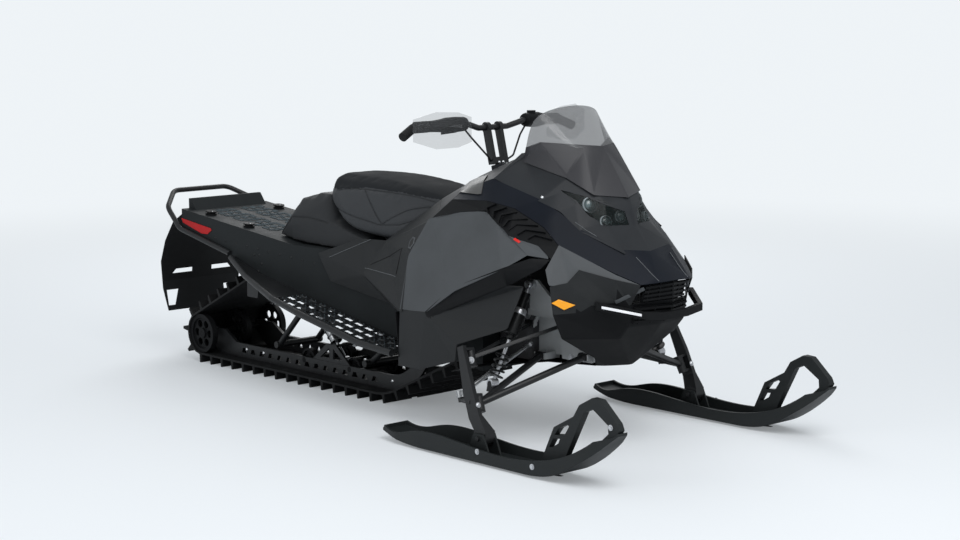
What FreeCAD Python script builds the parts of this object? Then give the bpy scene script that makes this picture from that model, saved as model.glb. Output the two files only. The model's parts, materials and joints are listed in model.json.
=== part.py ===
import FreeCAD, Part
import math
import os

# Crossover snowmobile in millimetres. +X points forward to the ski tips, +Y to the rider's left and
# +Z up. The origin is on the ground under the middle of the machine, on its mirror plane.

# Overall sizes
nose_x = 1290.0
overall_height = 1180.0
ski_stance = 1070.0
cut_overrun = 20.0
seam = 0.3

# Cowl: the faceted skin between the seat and the nose
cowl_length = 1000.0
cowl_half_width = 400.0
skin = 4.0

# Track and the wheels inside it
track_width = 406.0
centre_strip_width = 130.0
belt_thickness = 8.0
lug_height = 34.0
lug_base = 16.0
lug_tip = 9.0
track_pitch = 76.0
idler_radius = 84.0
idler_x = -1260.0
roller_radius = 62.0
roller_x = -850.0
roller_height = 352.0
sprocket_radius = 92.0
drive_x = 385.0
drive_height = 330.0
rail_bend_radius = 260.0
rail_bend_x = -80.0

# Slide rails and their wheels
rail_gauge = 250.0
rail_thickness = 14.0
rail_height = 58.0
rail_nose_angle = 58.0
rail_window_length = 36.0
rail_window_height = 20.0
rail_window_pitch = 62.0
rail_rear_overhang = 42.0
wheel_width = 26.0
wheel_gap = 8.0
bogie_radius = 45.0
bogie_shares = (0.54, 0.79)
axle_radius = 11.0

# Tunnel over the track
tunnel_width = 446.0
tunnel_wall = 3.0
tunnel_rear_x = -1345.0
tunnel_front_x = 560.0
tunnel_kink_x = -560.0
tunnel_rear_top = 660.0
tunnel_kink_top = 574.0
tunnel_rear_side = 95.0

# Running boards
board_outer_y = 398.0
board_tube_radius = 13.0
board_thickness = 4.0
board_hole_length = 44.0
board_hole_width = 22.0
board_hole_pitch = 60.0

# Rear bumper and snow flap
bumper_tube_radius = 11.0
flap_thickness = 5.0
flap_reach = 199.7
flap_bottom = 188.0

# Cargo anchors
anchor_radius = 24.0
anchor_height = 16.0
anchor_bore_radius = 5.0
anchor_rear_x = -1190.0
anchor_front_x = -920.0
anchor_side = 178.0

# Seat
seat_rear_x = -445.0
seat_front_x = 232.0
seat_half_width = 205.0

# Steering
column_foot_share = 0.0702
column_reach = 162.8
column_rake = 14.0
column_radius = 14.0
column_drop = 67.0
column_clearance = 0.4
bar_tube_radius = 11.0
bar_half_width = 425.0
grip_radius = 17.0
grip_length = 125.0

# Ski legs
kingpin_x = 796.0
kingpin_height = 331.0
kingpin_y = 494.4
kingpin_rake = 22.0
kingpin_lean = 7.0
kingpin_radius = 12.0
ski_width = 148.0
ski_thickness = 9.0
ski_tail_x = 430.0
ski_length = 1120.0
ski_saddle_x = 905.0

# Skid frame between the rails
drive_axle_radius = 15.0
drive_axle_overhang = 26.0
sprocket_side = 82.0
sprocket_teeth = 9
sprocket_root_radius = 74.0
sprocket_tooth_angle = 9.0
bracket_gap = 4.0
bracket_x = -445.0
bracket_length = 240.0
bracket_rise = 72.0
bracket_plate = 10.0
front_arm_top = (62.0, 352.0)
front_arm_foot = (-250.0, 118.0)
rear_arm_top = (-560.0, 388.0)
rear_arm_foot = (-830.0, 120.0)
arm_tube_radius = 14.0
arm_leg_radius = 12.5
hanger_width = 70.0
hanger_rise = 150.0

# Shock absorbers
eye_width = 22.0
eye_radius = 15.0
eye_bore = 6.4
coil_wire_radius = 4.0
coil_turns = 5

# Front suspension
arm_pin_radius = 7.0
arm_sleeve_radius = 14.0
arm_sleeve_length = 40.0
lower_arm_radius = 12.0
forged_width = 20.0
forged_thickness = 11.0
knuckle_height = 46.0
knuckle_radius = 17.0
knuckle_clearance = 0.4
leg_setback = 34.0
leg_width = 42.0
leg_depth = 16.0
stud_radius = 8.0
tie_rod_radius = 8.0
tie_rod_end_radius = 12.0
saddle_height = 76.0
saddle_gap = 44.0
saddle_plate = 7.0
saddle_length = 120.0
ski_bolt_radius = 8.0

# Tunnel details
tunnel_front_bottom = 216.0
tail_front_x = -1290.0
tail_half_width = 185.0
tail_height = 42.0
tail_light_depth = 22.0
tail_light_half_width = 70.0
bumper_reach = 360.0
bumper_drop = 74.0
bumper_length = 178.0
bumper_rise = 60.0
bumper_bend = 62.0
flap_half_width = 222.0
flap_top = 658.0
flap_shares = [
    (0.00, 0.84, 1.00),
    (0.50, 0.90, 0.86),
    (0.74, 0.95, 0.68),
    (0.88, 0.98, 0.48),
    (0.96, 0.90, 0.22),
    (1.00, 0.76, 0.00),
]
flap_slot_shares = [
    [(0.23, 0.395), (0.62, 0.395), (0.70, 0.355), (0.23, 0.355)],
    [(0.54, 0.200), (0.82, 0.200), (0.76, 0.050), (0.60, 0.050)],
]

# Running board stations: place along the machine, half width and height of the deck
board_bend = 60.0
board_stations = [
    (-965.0, 240.0, 488.0),
    (-782.0, 300.0, 435.0),
    (-500.0, 380.0, 384.0),
    (-314.0, 398.0, 351.0),
    (60.0, 398.0, 280.0),
    (255.0, 398.0, 266.0),
]

# Seat and rear cover: shares of the length, the heights and the half width
seat_height = 860.0
seat_base_half = 110.0
seat_base_shares = (0.46, 0.80)
cover_rear_x = -740.0
cover_front_x = -125.0
cover_height = 780.0
cover_half_width = 200.0
seat_stations_shares = [
    (0.000, 0.976, 0.935, 0.50),
    (0.030, 0.998, 0.885, 0.66),
    (0.120, 1.004, 0.840, 0.80),
    (0.240, 1.004, 0.792, 0.93),
    (0.560, 0.996, 0.747, 1.00),
    (0.700, 0.984, 0.745, 1.00),
    (0.860, 0.962, 0.796, 0.87),
    (1.000, 0.940, 0.866, 0.66),
]
seat_ring_shares = [
    (0.00, 1.01),
    (0.38, 1.01),
    (0.74, 0.99),
    (0.86, 0.84),
    (0.98, 0.46),
    (1.03, 0.24),
    (1.01, 0.04),
    (0.92, 0.00),
    (0.92, 0.00),
    (0.00, 0.00),
]
cover_stations_shares = [
    (0.000, 0.775, 0.804, 0.82, 0.66),
    (0.185, 0.872, 0.962, 0.93, 0.62),
    (0.355, 0.880, 0.998, 0.95, 0.57),
    (0.490, 0.886, 1.000, 0.96, 0.59),
    (0.600, 0.862, 0.886, 0.98, 0.60),
    (1.000, 0.808, 0.812, 1.00, 0.60),
]

# Front bumper bar and grilles
front_bar_height = 26.0
front_bar_depth = 18.0
bumper_bar_shares = [
    (0.995, 0.360, 0.418),
    (1.004, 0.148, 0.410),
]
bumper_inward_shares = [(-0.75, 0.66), (-0.93, 0.37), (-1.00, 0.08)]
marker_height = 9.0
marker_proud = 3.0
marker_end_shares = (0.12, 0.92)
slat_height = 7.0
slat_depth = 12.0
slat_count = 4

# Engine block
engine_length = 172.0
engine_width = 300.0
engine_clearance = 36.0
engine_height = 340.0

# Bulkhead casting
bulkhead_front_x = 1000.0
bulkhead_half_width = 108.0
bulkhead_bottom = 288.0
bulkhead_top = 446.0
wing_thickness = 22.0
wing_half_width = 205.0
wing_front_x = 955.0
tower_thickness = 12.0
lug_thickness = 6.0
cast_foot = [
    (842.0, 446.0),
    (880.0, 446.0),
    (902.0, 348.0),
    (952.0, 328.0),
    (1012.0, 322.0),
    (1024.0, 302.0),
    (1004.0, 290.0),
    (900.0, 288.0),
    (860.0, 288.0),
    (856.0, 340.0),
]
upper_pivots = [(775.0, 190.0, 412.0), (945.0, 190.0, 428.0)]
lower_pivots = [(785.0, 150.0, 294.0), (985.0, 135.0, 312.0)]
shock_top = (838.0, 252.0, 566.0)
shock_foot = (830.0, 425.0, 240.0)
shock_body_radius = 22.0
shock_rod_radius = 7.0
front_body_radius = 26.0
front_neck_radius = 15.0
cap_radius = 22.0
front_body_share = 0.27
front_body_end_share = 0.52
front_coil_low = 0.735
front_coil_high = 0.93
coil_radius = 23.0
shock_arm_share = 0.22
rear_shock_share = 0.45
centre_coil_low = 0.16
centre_coil_high = 0.62
rear_shock_foot = (-510.0, 84.0)
knuckle_low = 183.0
cheek = 9.0
stud_height = 232.0
steering_arm_length = 88.0
steering_arm_radius = 9.0
steering_arm_thickness = 7.0
tie_rod_inner = (770.0, 190.0, 338.0)

# Skis: profile, plan and grab loop as shares of the length, the tip's height and the half width
ski_tip_height = 232.0
ski_wall_height = 52.0
ski_edge = 9.0
keel_height = 8.0
keel_width = 14.0
loop_width = 26.0
ski_profile_shares = [
    (0.00, 0.150),
    (0.10, 0.060),
    (0.25, 0.034),
    (0.64, 0.034),
    (0.78, 0.105),
    (0.88, 0.355),
    (0.955, 0.610),
    (1.00, 0.800),
]
ski_wall_shares = [
    (0.00, 0.42),
    (0.07, 0.45),
    (0.15, 0.96),
    (0.40, 1.00),
    (0.70, 0.96),
    (0.86, 0.94),
    (1.00, 0.84),
]
ski_plan_shares = [
    (0.00, 0.72),
    (0.08, 0.94),
    (0.20, 1.00),
    (0.70, 1.00),
    (0.88, 0.84),
    (0.97, 0.52),
    (1.00, 0.30),
]
loop_outer_shares = [
    (0.685, 0.07),
    (0.693, 0.31),
    (0.735, 0.73),
    (0.815, 0.94),
    (0.839, 1.12),
    (0.890, 1.255),
    (0.923, 1.244),
    (0.989, 0.963),
    (0.998, 0.87),
    (0.985, 0.77),
    (0.930, 0.54),
    (0.860, 0.32),
    (0.780, 0.12),
]
loop_window_shares = [
    [
        (0.784, 0.34),
        (0.859, 1.03),
        (0.893, 1.10),
        (0.953, 0.92),
        (0.955, 0.80),
        (0.918, 0.64),
        (0.850, 0.41),
        (0.804, 0.29),
    ],
    [(0.738, 0.62), (0.756, 0.73), (0.791, 0.81), (0.798, 0.785), (0.779, 0.645)],
    [(0.716, 0.43), (0.733, 0.565), (0.761, 0.58), (0.754, 0.51), (0.727, 0.43)],
]

# Handlebar and its controls
riser_height = 138.0
riser_block = 24.0
riser_depth = 30.0
clamp_side = 30.0
clamp_width = 16.0
clamp_radius = 20.0
bar_bend = 34.0
bar_bend_places = [(0.0, 0.17, 0.0), (16.0, 0.34, 20.0), (-27.0, 0.85, 14.0), (-10.0, 1.0, -14.0)]
grip_cap = 5.0
pod_side = 192.0
pod_length = 62.0
pod_depth = 46.0
pod_section_shares = [
    (-0.36, -0.40),
    (0.20, -0.46),
    (0.50, -0.20),
    (0.46, 0.22),
    (0.10, 0.42),
    (-0.36, 0.34),
]
kill_button_radius = 9.0
lever_length = 62.0
lever_thickness = 6.0
guard_thickness = 3.0
guard_stay_side = 231.0
guard_stay_radius = 5.0
guard_stations = [
    (94.0, 190.0, -40.0, 50.0),
    (100.0, 260.0, -56.0, 70.0),
    (84.0, 350.0, -58.0, 74.0),
    (52.0, 430.0, -30.0, 50.0),
]
cable_radius = 3.5
cable_drop = 14.0
cable_bend = 18.0
collar_radius = 30.0
collar_rise = 20.8

# Lamps, reflectors and grille slats on the cowl
cowl_heart_shares = (0.45, 0.0, 0.5)
screen_heart_shares = (0.0, 0.0, 0.6)
reflector_thickness = 3.0
reflector_seat = 2.6
amber_shares = [(0.744, 0.450), (0.760, 0.461), (0.797, 0.444), (0.772, 0.430)]
red_length = 220.0
red_height = 38.0
red_drop = 40.0
red_shares = [(0.0, 0.0), (0.98, 0.08), (1.0, 0.30), (0.87, 0.86), (0.68, 1.0), (0.05, 0.45)]
grille_post_width = 7.0
grille_post_shares = (0.15, 0.55, 1.0)
grille_back_share = 0.6
grille_shares = [
    (((0.944, 0.26, 0.4475), (0.989, 0.0, 0.4545)), ((0.961, 0.26, 0.498), (0.992, 0.0, 0.5045))),
    (((0.9290, 0.32, 0.385), (0.9540, 0.0, 0.385)), ((0.9380, 0.32, 0.436), (0.9950, 0.0, 0.440))),
]

# Vent louvers: bent blades between the band's lower edge and the side panel's upper edge
louver_count = 7
louver_thickness = 5.0
louver_rise = 9.0
louver_sweep = 30.0
louver_shares = (0.07, 0.56, 0.88)
louver_top_names = ("band_middle", "band_front", "band_bend", "band_tip")
louver_low_names = ("panel_crest", "panel_dip", "panel_ledge", "panel_neck")


def mirrored(shape):
    return shape.mirror(FreeCAD.Vector(0, 0, 0), FreeCAD.Vector(0, 1, 0))


def both_sides(shape):
    return Part.makeCompound([shape, mirrored(shape)])


def save(name, shape):
    shape.exportStep("parts/" + name + ".step")


def fused(shapes):
    whole = shapes[0]
    if len(shapes) > 1:
        whole = shapes[0].multiFuse(shapes[1:])
    return whole.removeSplitter()


def rod(start, end, radius):
    run = end - start
    return Part.makeCylinder(radius, run.Length, start, run)


def prism(corners, depth):
    return Part.Face(Part.makePolygon(corners + corners[:1])).extrude(depth)


def bent_rod(corners, radius, bend):
    # A round bar through the corners, with an arc of the bend radius at each inner corner
    edges = []
    last = corners[0]
    for before, corner, after in zip(corners, corners[1:], corners[2:]):
        back = (before - corner).normalize()
        ahead = (after - corner).normalize()
        half_turn = (math.pi - back.getAngle(ahead)) / 2
        reach = bend * math.tan(half_turn)
        start = corner + back * reach
        end = corner + ahead * reach
        rise = bend / math.cos(half_turn) - bend
        middle = corner + (back + ahead).normalize() * rise
        edges.append(Part.LineSegment(last, start).toShape())
        edges.append(Part.Arc(start, middle, end).toShape())
        last = end
    edges.append(Part.LineSegment(last, corners[-1]).toShape())
    path = Part.Wire(edges)
    ring = Part.Wire(Part.makeCircle(radius, corners[0], corners[1] - corners[0]))
    return path.makePipeShell([ring], True, False)


# The cowl's corners: shares of the cowl's length, its half width and the overall height
corner_shares = {
    "console_rear": (0.105, 0.000, 0.775),
    "console_shoulder": (0.147, 0.300, 0.770),
    "console_side": (0.300, 0.250, 0.826),
    "deck_corner": (0.415, 0.375, 0.847),
    "deck_top": (0.410, 0.000, 0.854),
    "deck_side": (0.627, 0.375, 0.797),
    "deck_front": (0.710, 0.250, 0.762),
    "deck_tip": (0.775, 0.000, 0.731),
    "tank_rear": (-0.035, 0.000, 0.720),
    "tank_corner": (-0.028, 0.375, 0.691),
    "tank_side": (0.114, 0.750, 0.649),
    "brow_rear": (0.180, 0.562, 0.739),
    "brow_middle": (0.350, 0.600, 0.781),
    "brow_screw": (0.590, 0.614, 0.735),
    "brow_bend": (0.651, 0.520, 0.697),
    "brow_low": (0.729, 0.455, 0.650),
    "lip_corner": (0.862, 0.287, 0.597),
    "lip_middle": (0.880, 0.000, 0.586),
    "lamp_tip": (0.634, 0.456, 0.758),
    "lamp_top": (0.692, 0.345, 0.742),
    "lamp_crest": (0.754, 0.219, 0.723),
    "lamp_inner_top": (0.789, 0.050, 0.702),
    "lamp_inner_low": (0.805, 0.050, 0.653),
    "lamp_low": (0.778, 0.275, 0.656),
    "lamp_side": (0.722, 0.346, 0.688),
    "lamp_heel": (0.680, 0.407, 0.721),
    "bridge_top": (0.793, 0.000, 0.702),
    "bridge_low": (0.809, 0.000, 0.653),
    "band_rear": (0.180, 0.713, 0.710),
    "band_middle": (0.381, 0.762, 0.720),
    "band_front": (0.519, 0.750, 0.705),
    "band_bend": (0.626, 0.661, 0.654),
    "band_tip": (0.710, 0.671, 0.603),
    "crease_end": (0.885, 0.445, 0.532),
    "ridge_end": (0.972, 0.220, 0.519),
    "beak_corner": (0.995, 0.175, 0.508),
    "beak_middle": (1.000, 0.000, 0.510),
    "flank_end": (0.960, 0.325, 0.502),
    "cheek_low": (0.812, 0.646, 0.529),
    "cheek_front": (0.901, 0.479, 0.505),
    "patch_rear": (0.709, 0.844, 0.543),
    "patch_low": (0.737, 0.875, 0.500),
    "patch_front": (0.793, 0.750, 0.496),
    "jaw_rear": (0.762, 0.804, 0.412),
    "jaw_low": (0.807, 0.672, 0.416),
    "jaw_notch": (0.846, 0.587, 0.443),
    "jaw_front": (0.889, 0.467, 0.452),
    "mouth_corner": (0.923, 0.350, 0.442),
    "mouth_middle": (0.990, 0.000, 0.453),
    "chin_corner": (0.910, 0.355, 0.376),
    "chin_middle": (0.935, 0.000, 0.378),
    "fold_rear": (0.759, 0.780, 0.344),
    "fold_front": (0.873, 0.350, 0.339),
    "fold_middle": (0.898, 0.000, 0.339),
    "keel_side": (0.759, 0.375, 0.270),
    "keel_corner": (0.748, 0.212, 0.238),
    "keel_middle": (0.796, 0.000, 0.238),
    "belly_notch": (0.724, 0.262, 0.238),
    "belly_notch_middle": (0.750, 0.000, 0.233),
    "belly_front": (0.500, 0.300, 0.226),
    "belly_front_middle": (0.500, 0.000, 0.222),
    "belly_side": (0.340, 0.950, 0.218),
    "belly_rear": (0.2716, 0.950, 0.198),
    "belly_rear_middle": (0.2716, 0.000, 0.198),
    "belly_middle": (0.340, 0.000, 0.214),
    "panel_rear": (0.114, 0.830, 0.648),
    "panel_top": (0.272, 0.820, 0.681),
    "panel_crest": (0.397, 0.805, 0.693),
    "panel_dip": (0.485, 0.865, 0.658),
    "panel_ledge": (0.550, 0.890, 0.632),
    "panel_neck": (0.653, 0.783, 0.606),
    "panel_tip": (0.706, 0.767, 0.571),
    "panel_toe": (0.651, 0.886, 0.574),
    "panel_elbow": (0.580, 1.050, 0.538),
    "panel_knee": (0.335, 1.075, 0.466),
    "panel_heel": (0.183, 1.050, 0.374),
    "panel_low": (0.015, 1.000, 0.367),
    "panel_back": (0.020, 0.900, 0.533),
    "sill_rear": (0.223, 1.040, 0.370),
    "sill_middle": (0.587, 1.005, 0.490),
    "sill_front": (0.687, 0.875, 0.549),
    "skirt_rear": (-0.021, 0.950, 0.183),
    "skirt_middle": (0.126, 1.000, 0.190),
    "skirt_front": (0.328, 1.025, 0.239),
    "skirt_bend": (0.350, 1.055, 0.294),
    "skirt_nose": (0.565, 0.950, 0.358),
    "skirt_top": (0.629, 0.900, 0.488),
    "fairing_seat": (-0.265, 0.565, 0.544),
    "fairing_rise": (-0.415, 0.580, 0.543),
    "fairing_rear": (-0.680, 0.580, 0.474),
    "fairing_heel": (-0.600, 0.585, 0.385),
    "fairing_edge": (-0.370, 0.640, 0.430),
    "fairing_foot": (-0.230, 0.600, 0.345),
    "fairing_toe": (-0.040, 0.900, 0.350),
}

# The cowl's facets on the right side, by panel: each is a ring of corner names
panel_facets = {
    "console": [
        ("console_rear", "console_shoulder", "console_side", "deck_corner", "deck_top"),
        ("console_rear", "console_shoulder", "tank_corner", "tank_rear"),
        ("console_shoulder", "brow_rear", "brow_middle", "console_side"),
        ("console_side", "brow_middle", "deck_corner"),
        ("console_shoulder", "brow_rear", "tank_side", "tank_corner"),
        ("brow_rear", "band_rear", "tank_side"),
    ],
    "hood": [
        ("deck_top", "deck_corner", "deck_side", "deck_front", "deck_tip"),
        ("deck_corner", "brow_middle", "brow_screw", "deck_side"),
        ("deck_side", "brow_screw", "lamp_tip"),
        ("deck_side", "lamp_tip", "lamp_top", "deck_front"),
        ("deck_front", "lamp_top", "lamp_crest"),
        ("deck_front", "lamp_crest", "deck_tip"),
        ("deck_tip", "lamp_crest", "lamp_inner_top", "bridge_top"),
        ("bridge_top", "lamp_inner_top", "lamp_inner_low", "bridge_low"),
        ("lamp_tip", "brow_screw", "brow_bend", "lamp_heel"),
        ("lamp_heel", "brow_bend", "brow_low", "lamp_side"),
        ("lamp_side", "brow_low", "lamp_low"),
        ("lamp_low", "brow_low", "lip_corner"),
        ("lamp_low", "lip_corner", "lamp_inner_low"),
        ("lamp_inner_low", "lip_corner", "lip_middle", "bridge_low"),
    ],
    "headlights": [
        ("lamp_tip", "lamp_heel", "lamp_top"),
        ("lamp_top", "lamp_heel", "lamp_side", "lamp_crest"),
        ("lamp_crest", "lamp_side", "lamp_low"),
        ("lamp_crest", "lamp_low", "lamp_inner_low", "lamp_inner_top"),
    ],
    "cowl_band": [
        ("brow_rear", "band_rear", "band_middle", "brow_middle"),
        ("brow_middle", "band_middle", "band_front", "brow_screw"),
        ("brow_screw", "band_front", "band_bend", "brow_bend"),
        ("brow_bend", "band_bend", "band_tip", "brow_low"),
        ("brow_low", "band_tip", "crease_end", "lip_corner"),
        ("lip_middle", "lip_corner", "ridge_end", "beak_corner", "beak_middle"),
        ("lip_corner", "crease_end", "flank_end", "ridge_end"),
        ("ridge_end", "flank_end", "beak_corner"),
    ],
    "cheeks": [
        ("band_tip", "cheek_low", "cheek_front", "crease_end"),
        ("crease_end", "cheek_front", "flank_end"),
        ("band_tip", "patch_rear", "patch_low", "patch_front", "cheek_low"),
    ],
    "vent_louvers": [
        ("band_rear", "panel_top", "panel_crest", "band_middle"),
        ("band_middle", "panel_crest", "panel_dip", "band_front"),
        ("band_front", "panel_dip", "panel_ledge", "band_bend"),
        ("band_bend", "panel_ledge", "panel_neck", "band_tip"),
        ("band_tip", "panel_neck", "panel_tip"),
        ("band_rear", "tank_side", "panel_rear", "panel_top"),
    ],
    "side_panels": [
        ("panel_rear", "panel_back", "panel_knee", "panel_crest", "panel_top"),
        ("panel_back", "panel_low", "panel_heel", "panel_knee"),
        ("panel_crest", "panel_knee", "panel_elbow", "panel_dip"),
        ("panel_dip", "panel_elbow", "panel_toe", "panel_ledge"),
        ("panel_ledge", "panel_toe", "panel_tip", "panel_neck"),
    ],
    "lower_panels": [
        ("panel_heel", "sill_rear", "sill_middle", "panel_elbow", "panel_knee"),
        ("panel_elbow", "sill_middle", "sill_front", "panel_toe"),
        ("panel_toe", "sill_front", "panel_tip"),
        ("panel_low", "skirt_rear", "skirt_middle", "panel_heel"),
        ("panel_heel", "skirt_middle", "skirt_front", "skirt_bend", "sill_rear"),
        ("sill_rear", "skirt_bend", "skirt_nose", "skirt_top", "sill_middle"),
    ],
    "belly_pan": [
        ("patch_low", "jaw_rear", "jaw_low", "patch_front"),
        ("patch_front", "jaw_low", "jaw_notch", "cheek_low"),
        ("cheek_low", "jaw_notch", "jaw_front", "cheek_front"),
        ("cheek_front", "jaw_front", "mouth_corner", "flank_end"),
        ("jaw_rear", "fold_rear", "fold_front", "jaw_low"),
        ("jaw_low", "fold_front", "jaw_notch"),
        ("jaw_notch", "fold_front", "chin_corner", "jaw_front"),
        ("jaw_front", "chin_corner", "mouth_corner"),
        ("mouth_corner", "chin_corner", "chin_middle", "mouth_middle"),
        ("chin_corner", "fold_front", "fold_middle", "chin_middle"),
        ("fold_rear", "keel_side", "fold_front"),
        ("fold_front", "keel_side", "keel_corner", "keel_middle", "fold_middle"),
        ("keel_side", "belly_notch", "keel_corner"),
        ("keel_corner", "belly_notch", "belly_notch_middle", "keel_middle"),
        ("belly_notch", "belly_front", "belly_front_middle", "belly_notch_middle"),
        ("belly_front", "belly_side", "belly_middle", "belly_front_middle"),
        ("belly_side", "belly_rear", "belly_rear_middle", "belly_middle"),
    ],
    "seat_fairings": [
        ("tank_corner", "tank_side", "panel_rear", "panel_back", "fairing_seat"),
        ("panel_back", "panel_low", "fairing_edge", "fairing_seat"),
        ("fairing_seat", "fairing_edge", "fairing_rise"),
        ("fairing_rise", "fairing_edge", "fairing_rear"),
        ("fairing_edge", "fairing_heel", "fairing_rear"),
        ("panel_low", "fairing_toe", "fairing_foot", "fairing_edge"),
        ("fairing_edge", "fairing_foot", "fairing_heel"),
    ],
}

# The windshield's corners in the same shares, and its two sheets
screen_shares = {
    "foot_rear": (0.432, 0.437, 0.831),
    "foot_side": (0.632, 0.395, 0.7994),
    "foot_front": (0.716, 0.270, 0.7626),
    "foot_tip": (0.778, 0.000, 0.7338),
    "wing": (0.473, 0.500, 0.877),
    "waist_side": (0.517, 0.432, 0.890),
    "waist_front": (0.640, 0.200, 0.876),
    "waist_middle": (0.660, 0.000, 0.874),
    "crown_side": (0.468, 0.425, 0.958),
    "crown_middle": (0.516, 0.000, 1.000),
    "crown_bend": (0.500, 0.300, 0.988),
}
screen_facets = {
    "windshield_lower": [
        ("foot_rear", "foot_side", "waist_side", "wing"),
        ("foot_side", "foot_front", "waist_front", "waist_side"),
        ("foot_front", "foot_tip", "waist_middle", "waist_front"),
    ],
    "windshield_upper": [
        ("wing", "waist_side", "crown_side"),
        ("waist_side", "waist_front", "crown_bend", "crown_side"),
        ("waist_front", "waist_middle", "crown_middle", "crown_bend"),
    ],
}


def cowl_place(length_share, side_share, height_share):
    along = nose_x - cowl_length + cowl_length * length_share
    return FreeCAD.Vector(along, -cowl_half_width * side_share, overall_height * height_share)


def left_name(name, places):
    return name if places[name].y == 0 else name + "_left"


def facet_normal(ring, places):
    normal = FreeCAD.Vector(0, 0, 0)
    first = places[ring[0]]
    for b, c in zip(ring[1:], ring[2:]):
        normal += (places[b] - first).cross(places[c] - first)
    return normal.normalize()


def skin_net(shares, panels, heart, thickness):
    # Thin panels that share one net of corners: each corner moves in along the mean of its facets'
    # normals, so neighbours meet at a mitred seam
    places = {name: cowl_place(*share) for name, share in shares.items()}
    for name in list(places):
        right = places[name]
        places[left_name(name, places)] = FreeCAD.Vector(right.x, -right.y, right.z)
    rings = {}
    for panel, facets in panels.items():
        rings[panel] = []
        for ring in facets:
            middle = sum((places[name] for name in ring), FreeCAD.Vector(0, 0, 0)) / len(ring)
            if facet_normal(ring, places).dot(middle - heart) < 0:
                ring = tuple(reversed(ring))
            rings[panel].append(ring)
            mirror_ring = ring[:1] + tuple(reversed(ring[1:]))
            rings[panel].append(tuple(left_name(name, places) for name in mirror_ring))
    normals = {}
    for facets in rings.values():
        for ring in facets:
            for name in ring:
                normals.setdefault(name, []).append(facet_normal(ring, places))
    inner = {}
    for name, around in normals.items():
        mean = sum(around, FreeCAD.Vector(0, 0, 0)).normalize()
        slant = sum(mean.dot(normal) for normal in around) / len(around)
        inner[name] = places[name] - mean * (thickness / slant)
    return {panel: skin_panel(facets, places, inner) for panel, facets in rings.items()}


def skin_panel(facets, places, inner):
    # One closed solid for each connected set of facets
    islands = []
    for ring in facets:
        touching = [island for island in islands if edges_of(island) & edges_of([ring])]
        rest = [island for island in islands if island not in touching]
        islands = rest + [[ring] + [other for island in touching for other in island]]
    return Part.makeCompound([skin_solid(island, places, inner) for island in islands])


def edges_of(facets):
    edges = set()
    for ring in facets:
        for start, end in zip(ring, ring[1:] + ring[:1]):
            edges.add(frozenset((start, end)))
    return edges


def triangle(a, b, c):
    return Part.Face(Part.makePolygon([a, b, c, a]))


def skin_solid(facets, places, inner):
    faces = []
    counts = {}
    for ring in facets:
        for b, c in zip(ring[1:], ring[2:]):
            faces.append(triangle(places[ring[0]], places[b], places[c]))
            faces.append(triangle(inner[ring[0]], inner[c], inner[b]))
        for start, end in zip(ring, ring[1:] + ring[:1]):
            edge = frozenset((start, end))
            counts.setdefault(edge, []).append((start, end))
    for uses in counts.values():
        if len(uses) == 1:
            # Both panels at a seam split its wall along the same diagonal
            start, end = uses[0]
            if start < end:
                faces.append(triangle(places[end], places[start], inner[end]))
                faces.append(triangle(places[start], inner[start], inner[end]))
            else:
                faces.append(triangle(places[end], places[start], inner[start]))
                faces.append(triangle(places[end], inner[start], inner[end]))
    solid = Part.Solid(Part.Shell(faces))
    if solid.Volume < 0:
        solid.reverse()
    return solid


# Track path: a belt round four circles, from the rear idler along the ground and back over the top
ground_run = lug_height + belt_thickness
idler_height = idler_radius + ground_run
path_circles = [
    (idler_x, idler_height, idler_radius),
    (rail_bend_x, rail_bend_radius + ground_run, rail_bend_radius),
    (drive_x, drive_height, sprocket_radius),
    (roller_x, roller_height, roller_radius),
]


def path_runs(offset):
    # Straight runs that touch each circle and the next from outside, grown by the offset
    runs = []
    for one, two in zip(path_circles, path_circles[1:] + path_circles[:1]):
        dx = two[0] - one[0]
        dz = two[1] - one[1]
        gap = math.hypot(dx, dz)
        turn = math.atan2(dz, dx) + math.asin((one[2] - two[2]) / gap) - math.pi / 2
        out = FreeCAD.Vector(math.cos(turn), 0, math.sin(turn))
        start = FreeCAD.Vector(one[0], 0, one[1]) + out * (one[2] + offset)
        end = FreeCAD.Vector(two[0], 0, two[1]) + out * (two[2] + offset)
        runs.append((start, end, turn))
    return runs


def path_wire(offset):
    runs = path_runs(offset)
    edges = []
    for circle, arriving, leaving in zip(path_circles[1:] + path_circles[:1], runs, runs[1:] + runs[:1]):
        start, end, turn = arriving
        sweep = (leaving[2] - turn) % (2 * math.pi)
        out = FreeCAD.Vector(math.cos(turn + sweep / 2), 0, math.sin(turn + sweep / 2))
        middle = FreeCAD.Vector(circle[0], 0, circle[1]) + out * (circle[2] + offset)
        edges.append(Part.LineSegment(start, end).toShape())
        edges.append(Part.Arc(end, middle, leaving[0]).toShape())
    return Part.Wire(edges)


def path_stations():
    # Distance along the belt's outside to each run and bend, with the point and outward turn there
    runs = path_runs(belt_thickness)
    stretches = []
    for circle, arriving, leaving in zip(path_circles[1:] + path_circles[:1], runs, runs[1:] + runs[:1]):
        start, end, turn = arriving
        sweep = (leaving[2] - turn) % (2 * math.pi)
        radius = circle[2] + belt_thickness
        stretches.append(("run", (end - start).Length, start, end, turn))
        stretches.append(("bend", sweep * radius, circle, radius, turn))
    return stretches


def path_point(distance, rise, stretches, total):
    distance = distance % total
    for kind, length, one, two, turn in stretches:
        if distance <= length:
            break
        distance -= length
    if kind == "run":
        foot = one + (two - one) * (distance / length)
    else:
        turn = turn + distance / two
        foot = FreeCAD.Vector(one[0], 0, one[1]) + FreeCAD.Vector(math.cos(turn), 0, math.sin(turn)) * two
    return foot + FreeCAD.Vector(math.cos(turn), 0, math.sin(turn)) * rise


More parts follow.
